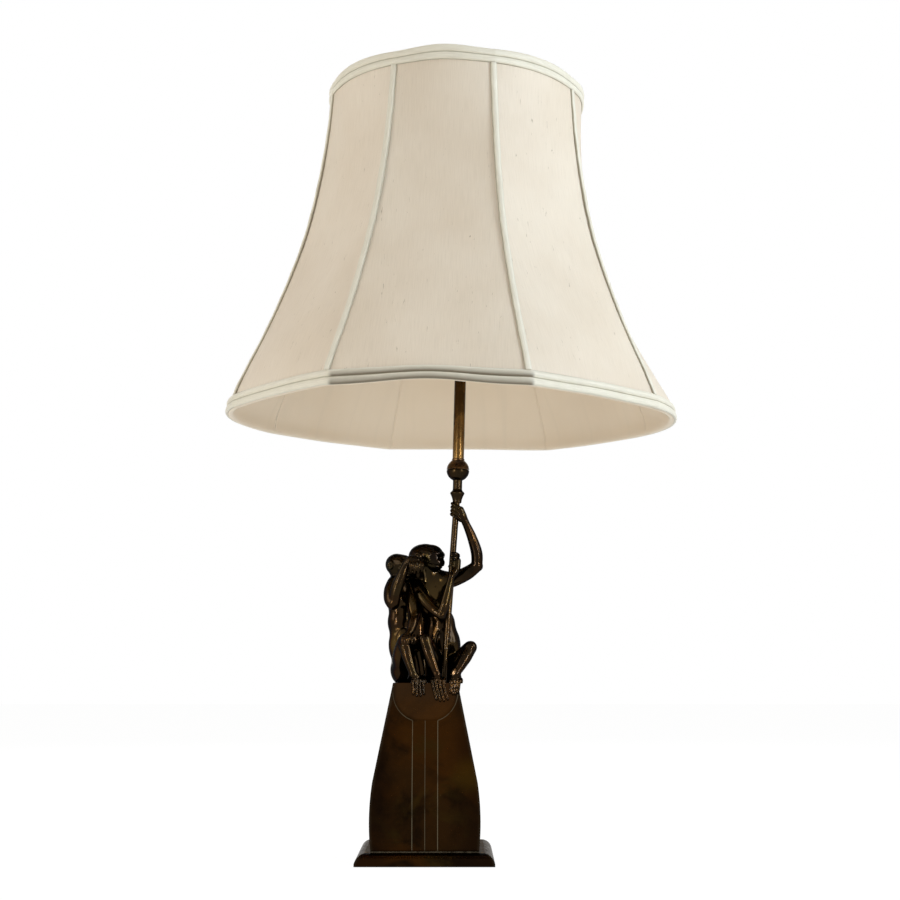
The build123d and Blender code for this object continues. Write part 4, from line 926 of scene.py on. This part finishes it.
def by_staff(height, angle, reach):
    """A point at a height up the staff, at an angle round it and a reach from its axis."""
    turn = math.radians(angle)
    return STAFF + STAFF_Z * height + STAFF_X * reach * math.cos(turn) + STAFF_Y * reach * math.sin(turn)


def head(clay, centre, forward, up, size):
    """A primate's head: skull, brow, sunken eyes, muzzle with nostrils and a closed mouth, and ears."""
    directions = facing(forward, up)

    def at(*place):
        return np.array(centre, float) + size * sum(d * mm for d, mm in zip(directions, place))

    def ball(place, radii, soft, cut=False):
        clay.egg(at(*place), np.array(radii) * size, forward, up, soft, cut)

    def ridge(places, radii, soft, cut=False):
        clay.bone([at(*place) for place in places], radii, soft, cut)

    ball((-2, 0, 0), (13.6, 12.8, 12.6), 3)
    ball((7, 0, 2.4), (12, 11.6, 10.6), 3)
    ball((9.5, 0, -2), (10.8, 10.4, 10.4), 3)
    ball((14.8, 0, -4.4), (7.4, 7.4, 6.2), 2)
    ball((12.4, 0, -8.4), (6.4, 6, 3.9), 1.5)
    for side in (-1, 1):
        ball((18.4, side * 4.3, 0.8), (3.2, 2.8, 2.3), 1.2, cut=True)
        ball((15.8, side * 4.1, 0.2), (1.9, 1.8, 1.7), 0.4)
        ridge([(11.5, side * 8.6, -4), (15, side * 6.4, -4.2), (17.5, side * 4, -3.8)], [2.4, 2.4, 1.8], 1.5)
        ridge([(12, side * 9, 3.2), (16.2, side * 5.2, 4.6), (17.8, 0, 4.2)], [2.2, 2.4, 2.2], 1.8)
        ball((21.9, side * 1.6, -3.6), (0.9, 0.8, 0.7), 0.5, cut=True)
        ball((-1.5, side * 12.6, -2), (4.2, 1.9, 5), 1.2)
        ball((-0.8, side * 14.3, -2), (2.6, 1.3, 3.3), 0.6, cut=True)
    ridge([(16.6, 0, 1.8), (19.4, 0, -1), (21, 0, -3.4)], [1.8, 1.7, 2], 1.4)
    mouth = [(10.5, -8.2, -6.6), (17, -6.2, -7.3), (21.4, 0, -7.3), (17, 6.2, -7.3), (10.5, 8.2, -6.6)]
    ridge(mouth, [0.55, 0.65, 0.7, 0.65, 0.55], 0.5, cut=True)


def hand_on_staff(clay, low, start, turn, tilt=0, gap=3.4, finger=1.6):
    """Four fingers round the staff, which climb by a tilt from root to tip."""
    reach = 3.3 + finger * 0.9
    for step in range(4):
        height = low + gap * step
        points = []
        for share, rise in ((0, 0), (0.25, 0.5), (0.5, 0.7), (0.75, 0.5), (1, 0.2)):
            lift = height + rise + tilt * (share - 0.4)
            points.append(by_staff(lift, start + turn * share, reach + (0 if share else 0.5)))
        clay.bone(points, [finger * 1.1, finger, finger * 1.05, finger * 0.95, finger * 0.75], 0.25)
        knuckle = by_staff(height + 0.6 - 0.1 * tilt, start + turn * 0.25, reach + 0.8)
        clay.egg(knuckle, (1.6, 1.5, 1.4), soft=0.8)


def long_foot(clay, ankle, heel, roots, tips, tip_z, radius, bulk=1):
    """A foot on the plinth's edge with long toes that hang down its front."""
    front = PLINTH_FRONT
    middle = ((roots[0] + roots[1]) / 2, front + 3, 4)
    clay.bone([heel, ankle, middle], [radius * 2.3 * bulk, radius * 2.5 * bulk, radius * 2.4 * bulk], 2)
    for step in range(4):
        share = step / 3
        x0 = roots[0] + share * (roots[1] - roots[0])
        x1 = tips[0] + share * (tips[1] - tips[0])
        drop = tip_z + (1.4 if step in (0, 3) else 0)
        sunk = 0.9 if step in (0, 3) else 0
        points = [(x0, front + 3.5, 5 - sunk), (x0, front - 0.9, 2.9 - sunk)]
        for part in (0.35, 0.7, 1):
            down = drop * part
            points.append((x0 + (x1 - x0) * part, front - radius * 1.05 + 0.2 * down, down))
        clay.bone(points, [radius * 1.05, radius * 1.08, radius, radius, radius * 0.8], 0.2)
        clay.egg(points[1], (radius * 1.1, radius * 1.15, radius * 1), soft=0.6)
    x = roots[1]
    big_toe = [(x + 0.6, front + 4.5, 4), (x + 2, front + 0.8, 3.2), (x + 2.4, front - 1.2, 0.6)]
    clay.bone(big_toe, [1.9, 1.7, 1.2], 0.6)


STEP = 0.62

right = Clay((-24, -44, -22), (68, 32, 184), STEP)
egg, bone = right.egg, right.bone
# body
egg((18.5, 9, 13), (16.5, 16.5, 17.5))
egg((20.2, 8.8, 37), (14.8, 13.2, 22))
egg((16.4, 9, 57), (13.2, 11.4, 18))
egg((8, 11, 38), (9.5, 10.5, 34))
egg((8.5, 8.6, 82), (16.2, 12, 20))
bone([(-7.5, 4.5, 94), (6.5, 6, 98), (20.5, 4.5, 102.5)], [8.4, 9.2, 8.6], 4)
bone([(4, 6, 111), (12, 4.5, 108), (21, 3.5, 104)], [7.4, 6.6, 6.2], 4)
bone([(5, 7, 97), (2.4, 5, 108), (0.5, 3.8, 117)], [10, 9.6, 9], 4)
egg((-8, 8, 113), (9.5, 9.5, 12))
egg((5, 10, 7), (10, 12, 9.5))
egg((2.5, -1.6, 88), (7.5, 2.9, 8.4), (0.98, -0.2, 0), soft=5)
egg((15.8, -1.6, 88), (7.2, 2.9, 8.4), (0.98, 0.1, 0), soft=5)
egg((17.5, -3, 40), (6.5, 2.2, 12), soft=3)
bone([(9, -3.6, 80), (11, -4.2, 64), (15, -4.9, 50)], [0.8, 0.9, 0.6], 2.4, cut=True)
bone([(8.5, 20.6, 92), (13.5, 21, 70), (18.5, 22.2, 45), (19, 25.4, 22)], [0.9, 0.9, 1, 0.8], 2.2, cut=True)
for x in (1.5, 15.5):
    egg((x, 16, 88), (6.5, 4, 9), soft=2.5)
head(right, (-1, 3.4, 126.6), (0.84, -0.46, -0.14), (0.1, 0.05, 1), 1.02)
# a ruff, and a cap of hair combed back from the brow
egg((-8.5, 5.5, 126), (9.6, 10.5, 10.8), soft=3)
for strand in range(13):
    sway = (strand - 6) * 1.75
    lock = []
    for (x, y, z), (dx, dy), spread, fall in (
        ((9.2, -4.6, 133.4), (0.5, 0.8), 0.6, 0.03),
        ((-1.5, 1.5, 138), (0.45, 0.85), 0.85, 0.055),
        ((-14.2, 6.5, 130.5), (0.35, 0.85), 0.8, 0.05),
    ):
        lock.append((x + dx * sway * spread, y + dy * sway * spread, z - fall * sway**2))
    bone(lock, [0.6, 1.3, 0.9], 1.6)
# arm across the chest to the staff
bone([(-8.5, 2, 95), (-4.5, -8.5, 86.5), (6, -18, 74), (15, -23, 66.5)], [8, 6.8, 5.7, 4.8], 2.5)
bone([(15, -23, 66.5), (18.8, -23.6, 77), (22.4, -22, 92), (25.8, -20.2, 106)], [4.4, 5, 4, 3.1], 1.2)
egg((15.8, -25, 65.4), (3.1, 2.8, 3), soft=1.2)
bone([(25.8, -20.2, 106), (30, -17, 112), (31.2, -14.6, 121)], [3.2, 4.1, 4.1], 1.2)
hand_on_staff(right, 116, 14, -118, 1.8, 3.9, 1.95)
bone([(29.4, -17, 110), (27.4, -10.4, 113.5), (23.4, -7.4, 116.2)], [1.9, 1.7, 1.4], 0.5)
# arm behind the staff and up
bone([(20.5, 3.6, 102), (30, 1.4, 104.5), (42, -1.6, 110), (51.4, -4, 116.6)], [8.2, 7.6, 7, 5.9], 2.5)
bone([(51.4, -4, 117.4), (51.2, -5.4, 130), (46.2, -7.8, 146), (39.8, -11, 160.5)], [5.7, 5.9, 4.9, 3.7], 1.2)
egg((54, -3.4, 116), (3.2, 3.2, 3.4), soft=1.4)
bone([(39.8, -11, 160.5), (37, -13, 167), (34.8, -14.6, 173)], [3.6, 4.1, 3.6], 1.2)
hand_on_staff(right, 165.6, -14, -186, 6.5, 3.6, 1.7)
bone([(37.4, -10, 167), (34, -6.6, 171.5), (30, -7, 175)], [2, 1.8, 1.4], 0.5)
# legs
bone([(11, 3, 13), (6, -10, 27), (0.4, -22.5, 40.5), (-0.6, -25.2, 42)], [10, 9, 7.2, 6.2], 3)
egg((-2, -27, 43.6), (4.6, 3.8, 4.4), soft=1.5)
bone([(-1.2, -25.4, 42), (2.2, -27.2, 32), (6.8, -29, 20), (11.2, -30.2, 8.5)], [5.8, 6.3, 5.2, 4], 1.6)
bone([(26, 3, 13), (36, -8.5, 24.4), (43.4, -18.5, 33.6), (44.8, -20.6, 35)], [10, 8.8, 7, 6], 3)
egg((46, -21.4, 36), (4.2, 3.8, 4.4), soft=1.5)
bone([(44.2, -20.6, 34.6), (40.2, -24.2, 26), (35, -28, 17.2), (30.2, -30.6, 9.5)], [5.8, 6.1, 5, 3.8], 1.6)
long_foot(right, (11.6, -30.2, 8), (8.6, -25, 4.6), (6.4, 17), (11, 22), -17, 1.5)
long_foot(right, (29.8, -30.6, 9), (31.5, -25.5, 4.6), (25.2, 33.4), (24.4, 32.2), -10.6, 1.5, 1.25)

left = Clay((-46, -44, -18), (14, 32, 136), STEP)
egg, bone = left.egg, left.bone
# body
egg((-21.6, 9, 13), (14.6, 17, 17))
egg((-24.2, 9.2, 38), (13.9, 14.2, 22))
egg((-26.4, 9.2, 61), (12.8, 12.6, 18))
egg((-26.2, 8.8, 82), (13.6, 12, 18))
egg((-10.5, 12.5, 48), (12, 10, 46))
egg((-3, 2, 9), (8, 13, 10))
bone([(-33, 5, 95), (-27, 7, 99), (-18.5, 5, 96)], [7.8, 8.8, 7.6], 4)
bone([(-27.4, 7.6, 99), (-28.6, 7.2, 112)], [8.6, 8], 4)
egg((-24, -2.6, 84), (9, 2.8, 8), soft=3)
egg((-22, -4.2, 42), (7, 2.2, 12), soft=3)
bone([(-27, 21.2, 90), (-26, 22, 66), (-25, 23.4, 42), (-24, 26.6, 20)], [0.9, 0.9, 1, 0.8], 2.2, cut=True)
for x in (-33, -20):
    egg((x, 16, 88), (5.5, 4, 9), soft=2.5)
head(left, (-28.4, 7, 118.4), (0.78, -0.58, -0.24), (0.1, 0, 1), 0.9)
# arm raised to the brow
bone([(-32, 3, 99), (-34.4, -2.5, 92), (-34.6, -7.5, 84), (-33.2, -11, 79)], [8.2, 8.3, 8, 6.8], 2.5)
bone(
    [(-32, -12.8, 80), (-28.8, -15.6, 94), (-24.2, -17.4, 107), (-19.6, -18.2, 118)], [5.4, 6.2, 5, 3.5], 1.2
)
egg((-32.8, -14.4, 79), (3.2, 3, 3), soft=1.2)
bone([(-19.6, -18.2, 118), (-15.4, -18.8, 122), (-9.4, -19, 121.4)], [3.5, 4.5, 4], 1.2)
egg((-12.5, 11.5, 99), (10, 8.5, 12))
for x, drop in ((-17, 0.6), (-13.2, -0.9), (-9.4, -0.6), (-5.6, 1.2)):
    finger = [(x, -19.8, 120.4), (x + 1.6, -22.8, 117.8)]
    finger += [(x + 2.2, -23, 113.4 + drop), (x + 1.8, -21.4, 109.6 + drop)]
    bone(finger, [2.1, 2.1, 1.9, 1.4], 0.7)
bone([(-19.5, -17, 118), (-18, -15.5, 113.5), (-15.5, -14.5, 110.5)], [2.1, 1.9, 1.4], 0.6)
# arm down to the knee
bone([(-18.5, 3, 95.5), (-14, -6, 81), (-11.5, -11.5, 67)], [7.8, 6.8, 5.8], 3)
bone([(-11.5, -11.5, 67), (-12.6, -17, 60), (-15.2, -22, 51)], [5.6, 5.2, 3.8], 2)
bone([(-15.6, -22.5, 51), (-18, -25.6, 46.6)], [3.2, 3.6], 1)
for step in range(4):
    x = -22.8 + 3.1 * step
    bone([(x + 1.6, -26.8, 46.6), (x + 0.4, -29.9, 43.6), (x, -30.4, 39)], [1.7, 1.6, 1.2], 0.3)
# legs
bone([(-24.5, 3, 14), (-24.4, -10, 27), (-22, -21, 39), (-21, -24, 41.6)], [9.6, 8.8, 7, 6.2], 3)
egg((-21.4, -25.4, 43), (4.6, 3.8, 4.2), soft=1.5)
bone([(-21, -24, 40), (-18.8, -26.6, 30), (-15.4, -28.6, 19), (-12, -30.2, 8.5)], [5.8, 6, 4.9, 3.7], 1.6)
bone([(-14, 3, 13), (-9, -6, 22), (-6.5, -11.5, 28)], [9, 8, 7], 3)
bone([(-6.5, -11.5, 28), (-4.5, -14.5, 17), (-3.6, -16.5, 5)], [6.8, 6.4, 5.2], 2)
bone([(-3.6, -14.5, 3.8), (-3.4, -24, 3.2)], [4, 3.6], 1.6)
long_foot(left, (-12, -30.2, 8), (-14.5, -25, 4.6), (-12.4, -2.4), (-11.8, -1.2), -12, 1.5)

for clay, name, node in ((right, "figure_right", "monkey_right"), (left, "figure_left", "monkey_left")):
    # a flat seat on the plinth, whose front wall leans out below
    spans, at = clay.near((-60, -29.5, -30), (70, 40, 0.2))
    clay.field[spans] = np.maximum(clay.field[spans], 0.1 - at[..., 2])
    spans, at = clay.near((-60, -60, -40), (70, 40, 10))
    wall = at[..., 1] - PLINTH_FRONT - 0.2 * at[..., 2]
    block = np.maximum(at[..., 2] - 0.1, -wall)
    clay.field[spans] = np.maximum(clay.field[spans], -block)
    figure = clay.piece(name, bronze_fur)
    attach(figure, "base")
    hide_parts(node)
